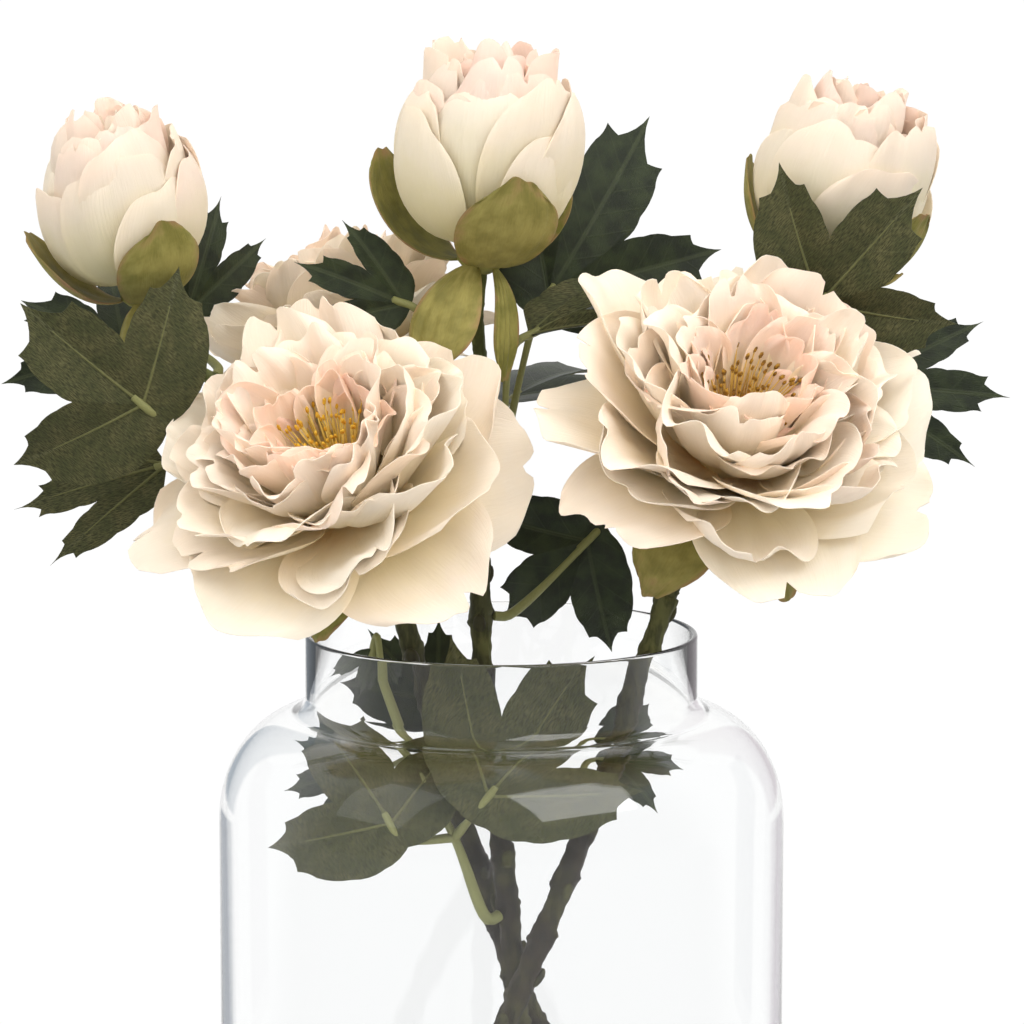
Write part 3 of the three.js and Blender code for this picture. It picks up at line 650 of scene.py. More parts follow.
def petal_sheet(petal, across, along):
    """The middle surface of a petal in its flower's frame, whose axis is +Z, and the
    cloth's own coordinates: s from -1 to 1 across it and t from 0 to 1 along it."""
    s = np.linspace(-1, 1, across + 1)[None, :]
    t = np.linspace(0, 1, along + 1)[:, None] ** 0.9
    root, middle, tip = petal["lean"]
    steps = np.linspace(0, 1.02, 103)
    bend, roll_over = 4 * middle - 3 * root - tip, 2 * root + 2 * tip - 4 * middle
    curl = petal["curl"] * np.clip((steps - CURL_FROM) / CURL_RUN, 0, 2) ** 2
    lean = np.radians(root + bend * steps + roll_over * steps**2 + curl)
    step = petal["length"] * (steps[1] - steps[0])
    line_r, line_z = (
        start + np.concatenate([[0], np.cumsum((rate[1:] + rate[:-1]) / 2 * step)])
        for start, rate in zip(petal["root"], (np.sin(lean), np.cos(lean)))
    )
    nicks = sum(depth * np.exp(-(((s - at) / width) ** 2)) for at, width, depth in petal["nicks"])
    scallops = 0.02 * np.sin(3.1 * s + petal["phase"]) + 0.012 * np.sin(7 * s + 2 * petal["phase"])
    reach = t * (1 - TIP_ROUND * s**2 * t - (nicks + scallops) * t**3)
    r, z, lean_at = (np.interp(reach, steps, line) for line in (line_r, line_z, lean))
    swell = CLAW + (1 - CLAW) * np.sin(math.pi / 2 * np.minimum(1, t / WIDEST))
    past = np.maximum(0, (t - WIDEST) / (1 - WIDEST))
    side = 0.5 * s * petal["width"] * swell * np.sqrt(1 - petal["closed"] * past**2)
    turn = petal["azimuth"] + petal["sway"] * t**2 + side / np.maximum(r, MIN_TURN_RADIUS)
    ruffle = petal["ruffle"] * t**2 * np.sin(petal["waves"] * math.pi * s + petal["phase"])
    frill = petal["frill"] * t**4 * np.sin(petal["frill_waves"] * math.pi * s + 3 * petal["phase"])
    flutter = petal["frill"] * np.abs(s) ** 3 * t * np.sin(2.4 * math.pi * t + np.sign(s) * petal["phase"])
    crease = petal["crease"] * t * (1.3 - t) * 2.4 * np.cos(petal["creases"] * math.pi * s + petal["phase"])
    tilt = side * np.sin(petal["roll"] + petal["twist"] * t)
    inwards = side**2 / (2 * petal["cup"]) + tilt + ruffle + frill + flutter + crease
    r = r - np.cos(lean_at) * inwards
    z = z + np.sin(lean_at) * inwards
    points = np.stack([r * np.cos(turn), r * np.sin(turn), z], -1)
    return points, s + 0 * t, t + 0 * s


def plate(points, thickness):
    """A closed thin plate about a grid of points. Its first face looks the way that
    the rows and columns turn."""
    rows, row = points.shape[:2]
    normal = np.cross(np.gradient(points, axis=1), np.gradient(points, axis=0))
    normal /= np.maximum(np.linalg.norm(normal, axis=2), 1e-9)[..., None]
    offset = normal * thickness[..., None] / 2
    vertices = np.vstack([(points + offset).reshape(-1, 3), (points - offset).reshape(-1, 3)])
    far = rows * row
    grid = np.arange(far).reshape(rows, row)
    a, b, c, d = (g.ravel() for g in (grid[:-1, :-1], grid[:-1, 1:], grid[1:, 1:], grid[1:, :-1]))
    rim = np.concatenate([grid[0, :-1], grid[:-1, -1], grid[-1, :0:-1], grid[:0:-1, 0]])
    onward = np.roll(rim, -1)
    quads = (a, b, c, d), (far + a, far + d, far + c, far + b), (rim, far + rim, far + onward, onward)
    return vertices, np.vstack([np.stack(corners, 1) for corners in quads]).tolist()


def petal_part(petal, across=ACROSS, along=ALONG, thick=PETAL_THICK):
    """One petal as a part to gather, with what its dye needs to know at each vertex."""
    points, s, t = petal_sheet(petal, across, along)
    to_edge = np.minimum(1, EDGE_STEEPNESS * np.minimum(1 - np.abs(s), 1 - t))
    vertices, faces = plate(points, PETAL_EDGE + (thick - PETAL_EDGE) * to_edge)
    s, t = (np.tile(x.ravel(), 2) for x in (s, t))
    marks = {"across": s, "along": t, "blush": petal["blush"], "lime": petal["lime"]}
    cloth = np.stack([s * petal["width"] / 2, t * petal["length"]], 1) * MM
    return vertices, faces, marks, cloth + petal["azimuth"] * 0.01


RING = "count turn length width lean root cup ruffle roll curl blush lime nicked closed".split()


def petal_ring(ring, scale, wild, draw):
    """The petals of one ring. "wild" from 0 to 1 is how much each differs."""
    ring = {"blush": 0.1, "lime": 0.1, "nicked": 1, "closed": TIP_CLOSED, **dict(zip(RING, ring))}
    play = draw.uniform
    petals = []
    for i in range(ring["count"]):
        turn = ring["turn"] + (i + play(-0.2, 0.2)) * 360 / ring["count"]
        notch = (play(-0.2, 0.2), play(0.05, 0.1), draw.choice([0, 0.09, 0.14]) * ring["nicked"])
        nick = (play(-0.8, 0.8), play(0.07, 0.14), play(0, 0.07) * ring["nicked"])
        petal = {
            "azimuth": math.radians(turn),
            "length": scale * ring["length"] * (1 + wild * play(-0.16, 0.07)),
            "width": scale * ring["width"] * (1 + wild * play(-0.14, 0.12)),
            "lean": [a + wild * far * play(-1, 1) for a, far in zip(ring["lean"], (5, 9, 18))],
            "curl": wild * play(*ring["curl"]),
            "root": [size * scale for size in ring["root"]],
            "closed": ring["closed"],
            "cup": scale * ring["cup"] * play(0.6, 1.4),
            "ruffle": scale * ring["ruffle"] * play(0.4, 1.4),
            "waves": play(0.8, 1.7),
            "frill": scale * ring["ruffle"] * play(0.3, 0.8),
            "frill_waves": play(1.5, 3.2),
            "crease": scale * play(0.15, 0.4),
            "creases": play(3, 6),
            "phase": play(0, 2 * math.pi),
            "roll": math.radians(ring["roll"] + wild * play(-10, 10)),
            "twist": wild * play(-0.35, 0.35),
            "sway": wild * play(-0.15, 0.15),
            "nicks": [notch, nick],
            "blush": np.clip(ring["blush"] + play(-0.15, 0.3), 0, 1),
            "lime": np.clip(ring["lime"] + play(-0.2, 0.3), 0, 1),
        }
        petals.append(petal)
    return petals


def cloth_group():
    """Satin cloth pressed with fine streaks along it: height and a light mottle."""
    inputs = {"Cloth": "Vector", "Streaks per Metre": "Float", "Stretch": "Float"}
    outputs = {"Height": "Float", "Mottle": "Float"}
    group, given, made = new_group("pressed_cloth", "ShaderNodeTree", inputs, outputs)
    parted = add(group, "ShaderNodeSeparateXYZ", {0: given["Cloth"]}).outputs
    across = times(group, parted[0], given["Streaks per Metre"])
    per_metre = math_of(group, "DIVIDE", given["Streaks per Metre"], given["Stretch"])
    drawn = vector_of(group, across, times(group, parted[1], per_metre), 0.0)
    link(group, noise_of(group, drawn, 1.0, 3.0, 0.6), made["Height"])
    link(group, noise_of(group, given["Cloth"], 120.0, 3.0), made["Mottle"])
    return group


CLOTH = cloth_group()


def woven(tree, streaks, stretch):
    """The height and the mottle of a finish's pressed cloth."""
    cloth = add(tree, "ShaderNodeUVMap", uv_map="cloth").outputs[0]
    return group_of(tree, CLOTH, {"Cloth": cloth, "Streaks per Metre": streaks, "Stretch": stretch})


def printed_with_groove_shade(tree, shader, colour, threads, low, share):
    """Gives a cloth its colour, with painted shade that darkens it towards a low colour where its weave lies low.
    """
    # Painted shade: the colour turns towards the low colour where the weave's height is low.
    tinge = blend_of(tree, threads, low, srgb(255, 255, 255))
    link(tree, blend_of(tree, share, colour, tinge, "MULTIPLY"), shader.inputs["Base Color"])


def silk(name, deep, body, tip, blush, lime, see_through=0.5):
    """Petal silk: coloured from its root to its tip, the deep root colour partly dye and partly painted warm
    shade, with a blush and a lime tinge.
    """
    material, tree, shader = new_finish(
        name,
        Roughness=0.68,
        Specular_IOR_Level=0.25,
        Sheen_Weight=0.3,
        Sheen_Roughness=0.5,
        Sheen_Tint=srgb(255, 246, 232),
        Subsurface_Weight=see_through,
        Subsurface_Radius=(1.0, 0.9, 0.78),
        Subsurface_Scale=0.0014,
    )
    shader.subsurface_method = "BURLEY"
    weave = woven(tree, 1500.0, 14.0)
    place = math_of(tree, "MULTIPLY_ADD", weave["Mottle"], 0.24, -0.12)
    place = math_of(tree, "ADD", value_of(tree, "along"), place)
    # The ramp's deep root colour is partly dye and partly painted warm shade, where the petals lie deep in the
    # flower.
    dye_and_root_shade = ramp_of(tree, place, (0.05, deep), (0.4, body), (0.82, tip), (1.0, tip))
    pink_at = times(tree, value_of(tree, "blush"), smooth_step(tree, place, 0.35, 1.0))
    lime_at = times(tree, value_of(tree, "lime"), smooth_step(tree, place, 1.0, 0.1))
    limed = blend_of(tree, lime_at, blend_of(tree, pink_at, dye_and_root_shade, blush), lime)
    # The low colour is painted shade in the weave's grooves.
    printed_with_groove_shade(tree, shader, limed, weave["Height"], srgb(246, 244, 240), 0.6)
    emboss(tree, shader, weave["Height"], 0.35, 0.0005)
    return material


# deep, the petals' root colour, is partly peach dye and partly painted warm shade.
BLOOM_SILK = silk(
    "bloom_silk",
    deep=srgb(255, 222, 166),
    body=srgb(255, 240, 212),
    tip=srgb(253, 245, 232),
    blush=srgb(255, 220, 204),
    lime=srgb(244, 240, 198),
)

# From the spreading guard petals in to the small ones that stand round the stamens.
# Each ring has the values that RING names: "lean" is degrees from the axis at root,
# middle and tip, "root" is a radius and a height, and "curl" is degrees at the tip.
BLOOM_RINGS = [
    (6, 0, 54, 56, (86, 84, 96), (10.5, 3), 160, 2.2, 7, (-50, 40), 0.0, 0.2),
    (6, 33, 53, 52, (80, 66, 52), (10.5, 4.5), 90, 2.3, 7, (-50, 70), 0.0, 0.2),
    (7, 10, 52, 47, (72, 52, 36), (10.5, 5.5), 60, 2.3, 8, (-40, 80), 0.05, 0.15),
    (7, 32, 50, 44, (64, 42, 28), (10.5, 6.5), 50, 2.2, 8, (-40, 80), 0.1, 0.1),
    (8, 12, 47, 40, (54, 34, 22), (10.5, 8), 44, 2.1, 8, (-40, 80), 0.15, 0.1),
    (8, 34, 44, 36, (44, 26, 18), (10.5, 9.5), 38, 2.0, 8, (-40, 80), 0.25, 0.05),
    (7, 5, 40, 32, (34, 20, 16), (10.5, 11), 34, 1.8, 8, (-40, 80), 0.4, 0.0),
    (6, 30, 33, 27, (28, 15, 16), (10.5, 12.5), 30, 1.6, 8, (-40, 70), 0.6, 0.0),
    (4, 50, 24, 20, (26, 14, 20), (9.5, 13.5), 26, 1.3, 8, (-20, 70), 0.8, 0.0),
]
BLOOM_CORE = [(9, 0), (12.0, 4), (12.0, 13), (9, 15)]


def stood(flower):
    """The place and turn of a flower's own frame, whose +Z runs along its axis."""
    turn = Vector((0, 0, 1)).rotation_difference(Vector(flower["axis"]).normalized())
    return np.array(turn.to_matrix()), np.array(flower["at"], float)


def turned_part(outline, scale, sides, flat, **marks):
    """A turned body as a part to gather, its cloth laid out along two of its axes."""
    vertices, faces = turned([(r * scale, z * scale) for r, z in outline], sides)
    return vertices, faces, marks, vertices[:, flat] * MM


def on_axis(name, parts, flower, finish, node, slot):
    """A piece gathered from parts in a flower's own frame."""
    vertices, faces, marks, cloth = gathered(parts)
    turn, at = stood(flower)
    new_piece(name, vertices @ turn.T + at, faces, finish, node, slot, marks, cloth)


def silk_head(kind, side, flower, core, rings, wild, finish, draw):
    """The silk of one flower: a core that hardly shows, and the petals round it."""
    scale = flower["scale"]
    hidden = {"across": 0.0, "along": 0.0, "blush": 0.0, "lime": 0.5}
    parts = [turned_part(core, scale, 24, [0, 1], **hidden)]
    for ring in rings:
        parts += map(petal_part, petal_ring(ring, scale, wild, draw))
    on_axis(f"{kind}_{side}_silk", parts, flower, finish, f"{kind}_{side}_petals", "petal")


for number, (side, spray) in enumerate(SPRAYS.items()):
    draw = np.random.default_rng(700 + number)
    silk_head("bloom", side, spray["bloom"], BLOOM_CORE, BLOOM_RINGS, 1, BLOOM_SILK, draw)

# ------------------------------ stamens
# A boss of stiff threads set in the heart of each bloom, each with a pollen-dusted
# anther on its tip.
GOLDEN_TURN = 2.39996
STAMEN_FOOT = 15.3
THREADS_START = 0.0004


def stamen_tree():
    """Threads in a spiral on a small disc, splayed a little, with an anther on each."""
    sizes = dict.fromkeys(("Spread", "Thread Length", "Thread Radius", "Anther Length", "Splay"), "Float")
    inputs = {"Geometry": "Geometry", "Count": "Int", **sizes, "Seed": "Int", "Finish": "Material"}
    tree, given, made = new_group("stamens", "GeometryNodeTree", inputs, {"Geometry": "Geometry"})
    index = add(tree, "GeometryNodeInputIndex").outputs[0]
    share = math_of(tree, "DIVIDE", math_of(tree, "ADD", index, 0.5), given["Count"])
    share = math_of(tree, "POWER", share, 0.5)
    turn = times(tree, index, GOLDEN_TURN)
    out = times(tree, share, given["Spread"])
    x, y = (times(tree, out, math_of(tree, way, turn)) for way in ("COSINE", "SINE"))
    place = {"Count": given["Count"], "Position": vector_of(tree, x, y, THREADS_START)}
    spots = add(tree, "GeometryNodePoints", place).outputs[0]
    cone = {"Vertices": 5, "Side Segments": 2, "Radius Bottom": given["Thread Radius"]}
    cone["Radius Top"] = times(tree, given["Thread Radius"], 0.6)
    thread = add(tree, "GeometryNodeMeshCone", {**cone, "Depth": given["Thread Length"]}).outputs[0]
    ball = add(tree, "GeometryNodeMeshIcoSphere", {"Radius": 1.0, "Subdivisions": 1}).outputs[0]
    wide, long = (times(tree, given["Anther Length"], share_of) for share_of in (0.24, 0.5))
    tip = vector_of(tree, 0.0, 0.0, given["Thread Length"])
    leant = {"Translation": tip, "Rotation": (0.25, 0, 0), "Scale": vector_of(tree, wide, wide, long)}
    anther = add(tree, "GeometryNodeTransform", {"Geometry": ball, **leant}).outputs[0]
    both = add(tree, "GeometryNodeJoinGeometry")
    for shape, pollen_on in ((thread, 0.0), (anther, 1.0)):
        stored = {0: shape, 2: "pollen", 3: pollen_on}
        dusted = add(tree, "GeometryNodeStoreNamedAttribute", stored, data_type="FLOAT").outputs[0]
        link(tree, dusted, both.inputs[0])
    play = play_of(tree, given, -0.22, 0.22)
    tilt = math_of(tree, "ADD", times(tree, share, given["Splay"]), play)
    way = vector_of(tree, play, tilt, turn)
    copy_on(tree, given, made, spots, both.outputs[0], way, play_of(tree, given, 0.72, 1.08))
    return tree


def pollen(name, thread, light, dark):
    material, tree, shader = new_finish(name, Roughness=0.7, Specular_IOR_Level=0.3)
    specks = noise_of(tree, place_of(tree), 900.0)
    dusted = turn_to(tree, specks, 0.35, 0.65, dark, light)
    link(tree, blend_of(tree, value_of(tree, "pollen"), thread, dusted), shader.inputs["Base Color"])
    emboss(tree, shader, specks, 0.5, 0.0003)
    return material


STAMENS = stamen_tree()
YELLOW_POLLEN = pollen("yellow_pollen", srgb(236, 206, 110), srgb(238, 196, 70), srgb(206, 150, 40))
BROWN_POLLEN = pollen("brown_pollen", srgb(214, 176, 90), srgb(186, 142, 52), srgb(120, 84, 30))
THREADS = {"Spread": 6.6, "Thread Length": 20, "Thread Radius": 0.32, "Anther Length": 2.6}
for number, (side, spray) in enumerate(SPRAYS.items()):
    flower = spray["bloom"]
    scale = flower["scale"] * MM
    sizes = {key: size * scale for key, size in THREADS.items()}
    finish = BROWN_POLLEN if side == "right" else YELLOW_POLLEN
    sizes |= {"Count": 90, "Splay": 0.42, "Seed": 11 + number, "Finish": finish}
    boss = grown(f"bloom_{side}_threads", STAMENS, bpy.data.meshes.new("seed"), sizes)
    turn, at = stood(flower)
    own = Matrix.Translation((0, 0, STAMEN_FOOT * flower["scale"] * MM))
    boss.transform(Matrix.Translation(Vector(at * MM)) @ Matrix(turn.tolist()).to_4x4() @ own)
    as_piece(boss, "stamen", f"bloom_{side}_stamens")

# ------------------------------ sepals
# Thicker waxed cloth, olive green flushed with red at the edges, set on a moulded
# green cup: they hang back from an open bloom and hug a bud.
SEPAL_THICK = 0.8
SEPAL_REST = (0.1, 0.1, 0, SEPAL_TIP_CLOSED)
BLOOM_SEPALS = (5, 20, 41, 21, (100, 122, 134), (6, -4), 80, 0.7, 0, (-10, 30), *SEPAL_REST)
BUD_SEPALS = (3, 57, 52, 36, (98, 39, 6), (6.5, -5), 300, 0.3, 0, (0, 60), *SEPAL_REST)
BRACT_REST = ((4, -5), 40, 0.3, 0, (0, 1), *SEPAL_REST)
BRACTS = {
    "left": [(250, 30, 13, (120, 165, 175)), (330, 26, 10, (110, 150, 165))],
    "middle": [(240, 44, 24, (110, 150, 172)), (320, 40, 12, (125, 172, 178))],
    "right": [(200, 30, 12, (95, 120, 170)), (20, 26, 10, (100, 80, 40))],
}
BLOOM_CUP = [(3.6, -12), (5.6, -9.4), (7.5, -6), (8.2, -3), (8, -0.3)]
BUD_CUP = [(3, -9), (5.8, -7.4), (8, -5), (8.3, -2.6), (8, -0.3)]

waxed = {"Coat_Weight": 0.05, "Coat_Roughness": 0.4}
sepal_cloth, tree, shader = new_finish("sepal_cloth", Specular_IOR_Level=0.4, **waxed)
weave = woven(tree, 1700.0, 6.0)
mottle = weave["Mottle"]
out = math_of(tree, "ABSOLUTE", value_of(tree, "across"))
rim = math_of(tree, "MAXIMUM", out, times(tree, value_of(tree, "along"), 0.98))
edge = math_of(tree, "ADD", rim, times(tree, math_of(tree, "SUBTRACT", mottle, 0.5), 0.9))
body = turn_to(tree, mottle, 0.35, 0.65, srgb(140, 140, 66), srgb(176, 171, 96))
flushed = turn_to(tree, edge, 0.82, 1.15, body, srgb(178, 142, 104))
blushed = blend_of(tree, times(tree, value_of(tree, "blush"), 0.35), flushed, srgb(190, 150, 108))
# The low colour is painted shade in the weave's grooves.
printed_with_groove_shade(tree, shader, blushed, weave["Height"], srgb(190, 190, 170), 0.7)
link(tree, smooth_step(tree, mottle, -0.6, 1.1), shader.inputs["Roughness"])
emboss(tree, shader, weave["Height"], 0.5, 0.0005)


def bract(azimuth, length, width, lean, draw):
    """A narrow leaf under a bud, of the sepals' cloth."""
    made = petal_ring((1, azimuth, length, width, lean, *BRACT_REST), 1, 0.01, draw)[0]
    return {**made, "azimuth": math.radians(azimuth), "blush": draw.uniform(0.1, 0.6)}


def calyx(kind, side, flower, cup, sepals, across, along):
    """The cup under one flower with the sepals that are set on it."""
    green = {"across": 0.0, "along": 0.2, "blush": 0.0, "lime": 0.0}
    parts = [turned_part(cup, flower["scale"], 28, [0, 2], **green)]
    parts += [petal_part(sepal, across, along, SEPAL_THICK) for sepal in sepals]
    on_axis(f"{kind}_{side}_sepals", parts, flower, sepal_cloth, f"{kind}_{side}_calyx", "sepal")


for number, (side, spray) in enumerate(SPRAYS.items()):
    draw = np.random.default_rng(90 + number)
    sepals = petal_ring(BLOOM_SEPALS, spray["bloom"]["scale"], 1, draw)
    calyx("bloom", side, spray["bloom"], BLOOM_CUP, sepals, 20, 16)
    sepals = petal_ring(BUD_SEPALS, spray["bud"]["scale"], 0.3, draw)
    sepals += [bract(*shape, draw) for shape in BRACTS[side]]
    calyx("bud", side, spray["bud"], BUD_CUP, sepals, 24, 20)

# ------------------------------ buds
# The same silk wrapped in a ball: broad smooth petals outside, pressed over one
# another, and crumpled narrow ones that stand out of its mouth.
BUD_RINGS = [
    (3, 75, 58, 54, (100, 25, -12), (5, 2), 300, 0.6, 5, (-30, 20), 0.05, 0.6, 0.2),
    (4, 0, 65, 57, (96, 17, -24), (5, 4), 250, 0.8, 6, (-60, 5), 0.15, 0.4, 0.4),
    (4, 40, 65, 53, (88, 13, -20), (5, 5.5), 160, 1.2, 7, (-70, 10), 0.2, 0.25, 0.5),
    (4, 15, 65, 48, (77, 11, -12), (4.5, 6), 90, 1.7, 8, (-100, 20), 0.3, 0.2, 0.6),
    (5, 62, 64, 43, (64, 7, -4), (4.5, 7), 60, 2.3, 9, (-120, 30), 0.35, 0.1, 0.6),
    (4, 30, 61, 38, (50, 3, 4), (4, 9), 40, 2.6, 9, (-120, 30), 0.4, 0.1, 0.6),
    (3, 80, 57, 34, (32, 0, 8), (4, 10), 30, 2.6, 9, (-120, 20), 0.3, 0.1, 0.6),
]
BUD_CORE = [(8, 0), (11.5, 5), (9, 24), (6, 40), (2, 44)]
# deep, the petals' root colour, is partly green dye and partly painted shade low in the bud.
BUD_SILK = silk(
    "bud_silk",
    deep=srgb(224, 216, 160),
    body=srgb(238, 227, 197),
    tip=srgb(243, 234, 218),
    blush=srgb(247, 213, 205),
    lime=srgb(230, 226, 172),
)
for number, (side, spray) in enumerate(SPRAYS.items()):
    draw = np.random.default_rng(330 + number)
    silk_head("bud", side, spray["bud"], BUD_CORE, BUD_RINGS, 0.5, BUD_SILK, draw)

# ------------------------------ leaves
# Lobed leaves of printed cloth: dark green above, olive crepe below, with moulded
# ribs glued under the main veins, on slender green wired petioles.

# The outline of half a leaf: an angle from its main rib in degrees, a reach as a share
# of its length, and how far the edge from there to the next point is full or hollow.
LEAF_OUTLINE = [
    (0, 1, -0.08), (7.5, 0.83, -0.04), (13, 0.86, -0.08), (16, 0.76, 0.05), (21, 0.6, 0.08),
    (26, 0.46, 0.04), (31, 0.56, 0.08), (38, 0.7, 0.0), (41, 0.8, -0.08), (45, 0.8, -0.05),
    (50, 0.95, -0.08), (56, 0.79, -0.04), (61, 0.8, -0.08), (67, 0.7, 0.06), (80, 0.52, 0.08),
    (98, 0.36, 0.1), (140, 0.2, 0.1),
]
RIGHT_REACH = 0.95
RISE_LIMIT = 60
RIM_THIN = 0.35
RIB_REACH = (0.74, 0.66, 0.66)
RIB_RADII = (0.62, 0.18)
VEIN_STEP = 9.0
LOBES = (0, 50, -50)
LEAF_THICK = 0.7
LEAF_FOLD = 0.3
LEAF_ARCH = 0.25
PETIOLE_RADIUS = 1.3
EDGE_POINTS = 4
LEAF_RINGS = (0.04, 0.12, 0.22, 0.34, 0.46, 0.58, 0.7, 0.8, 0.89, 0.95, 1.0)


def lobed(at, toward, facing, length, spread, more=()):
    """A blade: its foot, the ways that its main rib and its face look, and its size."""
    size = {"length": length, "spread": spread}
    return {"at": at, "toward": toward, "facing": facing, **size, **dict(more)}


def new_leaf(name, on, along, *shape):
    """A leaf, with the limb that it grows on and how far along it, and its blade."""
    return {"name": name, "on": on, "along": along, **lobed(*shape)}


UNDER = {"under": True}
CURLED = {"under": True, "fold": 0.8}
JAR_FRONT_RACHIS = [(-15, -16, 186), (-29, -17, 214), (-38, -14, 234)]
LOW, HIGHER = ({"from": point} for point in JAR_FRONT_RACHIS[:2])
JAR_FRONT_BLADES = [
    lobed((-4, -27, 202), (0.6, -0.05, 0.8), (0, -1, 0.15), 54, 1.05, UNDER | LOW),
    lobed((-35, -22, 192), (-0.54, 0.05, 0.84), (0, -1, 0.2), 42, 1.4, UNDER | LOW),
    lobed((-42, -4, 207), (-0.96, 0, -0.25), (0, -1, 0.3), 30, 0.7, HIGHER),
    lobed((-41, -9, 245), (-0.22, 0.3, -0.93), (0.1, -1, -0.3), 22, 0.7),
]
JAR_FRONT = {"rachis": JAR_FRONT_RACHIS, "blades": JAR_FRONT_BLADES}
LEAVES = {
    "left": [
        new_leaf(
            "left_front", "bud", 0.62, (-112, -29, 327), (-0.76, -0.2, 0.62), (0.1, -1, -0.1), 48, 1.35, UNDER
        ),
        new_leaf("left_low", "bloom", 0.35, (-107, 2, 304), (-0.97, -0.05, -0.24), (0, -1, 0.3), 52, 0.5, UNDER),
        new_leaf("left_behind_bud", "bud", 0.72, (-102, 32, 350), (0.3, 0.15, 0.95), (0.2, -1, 0.2), 40, 0.6),
        new_leaf("left_far", "bud", 0.62, (-122, 27, 335), (-0.8, 0.2, 0.55), (0, -0.8, 0.6), 42, 0.9),
        new_leaf("left_neck", "main", 0.74, (-22, 17, 221), (-0.6, 0.05, 0.8), (0.25, -1, 0.1), 34, 0.85),
    ],
    "middle": [
        {"name": "jar_front", "on": "main", "along": 0.57, **JAR_FRONT},
        new_leaf("behind_middle_bud", "bud", 0.35, (15, 38, 355), (0.53, 0.24, 0.82), (0.2, -1, 0.1), 72, 0.85),
        new_leaf("middle_left", "bud", 0.5, (-31, -5, 356), (-0.86, -0.26, 0.43), (0.1, -0.9, 0.3), 36, 0.7),
        new_leaf("middle_curled", "bud", 0.2, (9, 3, 345), (0.84, 0.12, 0.5), (-0.3, -0.5, 0.9), 42, 0.5, CURLED),
        new_leaf("back_high", "bloom", 0.5, (4, 66, 318), (0.5, 0.75, 0.3), (0.2, 0.3, 1), 50, 1),
        new_leaf("centre_back", "main", 0.93, (28, 26, 276), (-0.5, 0.1, -0.5), (0, -1, 0.1), 42, 1.1),
    ],
    "right": [
        new_leaf("right_front", "bud", 0.9, (100, -20, 358), (0.6, -0.35, 0.72), (0.1, -1, 0.2), 47, 1.2, UNDER),
        new_leaf("right_far", "bud", 0.3, (113, 12, 328), (1, 0, -0.03), (0.1, -1, 0.3), 52, 0.6),
        new_leaf("right_back", "bud", 0.15, (66, 60, 306), (0.5, 0.8, 0.2), (0.3, 0.2, 1), 52, 1),
        new_leaf("jar_right", "main", 0.7, (34, 14, 208), (0.9, 0.2, -0.1), (0, -0.8, 0.6), 28, 0.9),
    ],
}


def leaf_edge(leaf):
    """The flat outline of a leaf about its petiole."""
    left = [(turn * leaf["spread"], reach, full) for turn, reach, full in LEAF_OUTLINE]
    fulls = [full for _, _, full in left]
    mirrored = zip(reversed(left[1:]), reversed(fulls[:-1]))
    right = [(-turn, reach * RIGHT_REACH, full) for (turn, reach, _), full in mirrored]
    turns, reaches, fulls = np.array([*left, *right]).T
    turns = np.radians(turns)
    corners = np.stack([np.cos(turns), np.sin(turns)], 1) * reaches[:, None] * leaf["length"]
    edge = []
    for a, b, full in zip(corners, np.roll(corners, -1, axis=0), fulls):
        run = b - a
        out = np.array([run[1], -run[0]])
        edge += [a + w * run + full * 4 * w * (1 - w) * out for w in np.arange(EDGE_POINTS) / EDGE_POINTS]
    return np.array(edge)


def leaf_height(leaf, x, y):
    """How far the blade rises: up from each rib, and drooping towards its tips."""
    reach = np.hypot(x, y)
    turn = np.degrees(np.arctan2(y, x)) / leaf["spread"]
    from_rib = np.min([np.abs(turn - lobe) for lobe in LOBES], axis=0) * leaf["spread"]
    fold = leaf.get("fold", LEAF_FOLD)
    rise = reach * np.sin(np.radians(np.minimum(from_rib, RISE_LIMIT))) * fold
    length = leaf["length"]
    wave = 0.018 * length * (reach / length) ** 2 * np.sin(np.radians(7 * turn) + length)
    return rise - LEAF_ARCH * reach**2 / length + wave


def leaf_blade(leaf):
    """The two faces of a blade and its rim, in the leaf's own frame."""
    edge = leaf_edge(leaf)
    n = len(edge)
    xy = np.vstack([[0, 0], *(share * edge for share in LEAF_RINGS)])
    x, y = xy.T
    height = leaf_height(leaf, x, y)
    thin = np.clip(5 * (1 - np.array(LEAF_RINGS)), RIM_THIN, 1)
    half = LEAF_THICK / 2 * np.concatenate([[1], np.repeat(thin, n)])
    top = np.stack([x, y, height + half], 1)
    bottom = np.stack([x, y, height - half], 1)
    far = len(top)
    i = np.arange(n)
    j = (i + 1) % n
    pairs = list(zip(i.tolist(), j.tolist()))
    faces = [[0, 1 + a, 1 + b] for a, b in pairs] + [[far, far + 1 + b, far + 1 + a] for a, b in pairs]
    quads = []
    for ring in range(len(LEAF_RINGS) - 1):
        a, b = 1 + ring * n + i, 1 + ring * n + j
        c, d = a + n, b + n
        quads += [np.stack([a, c, d, b], 1), np.stack([far + a, far + b, far + d, far + c], 1)]
    a, b = far - n + i, far - n + j
    quads.append(np.stack([a, far + a, far + b, b], 1))
    faces += np.vstack(quads).tolist()
    lobe = np.array(LOBES)[:, None] * leaf["spread"]
    apart = np.radians(np.degrees(np.arctan2(y, x))[None] - lobe)
    nearest = np.argmin(np.abs(apart), axis=0)
    near = np.take_along_axis(apart, nearest[None], 0)[0]
    reach = np.hypot(x, y)
    under = 1.0 if leaf.get("under") else 0.0
    marks = {
        "rib_across": np.tile(reach * np.sin(near), 2),
        "rib_along": np.tile(reach * np.cos(np.clip(near, -1.5, 1.5)), 2),
        "under": np.repeat([under, 1 - under], far),
        "stalk": 0.0,
    }
    return np.vstack([top, bottom]), faces, marks, np.tile(xy, (2, 1)) * MM


FAR_FROM_RIBS = {"rib_across": 9.0, "rib_along": 0.0}


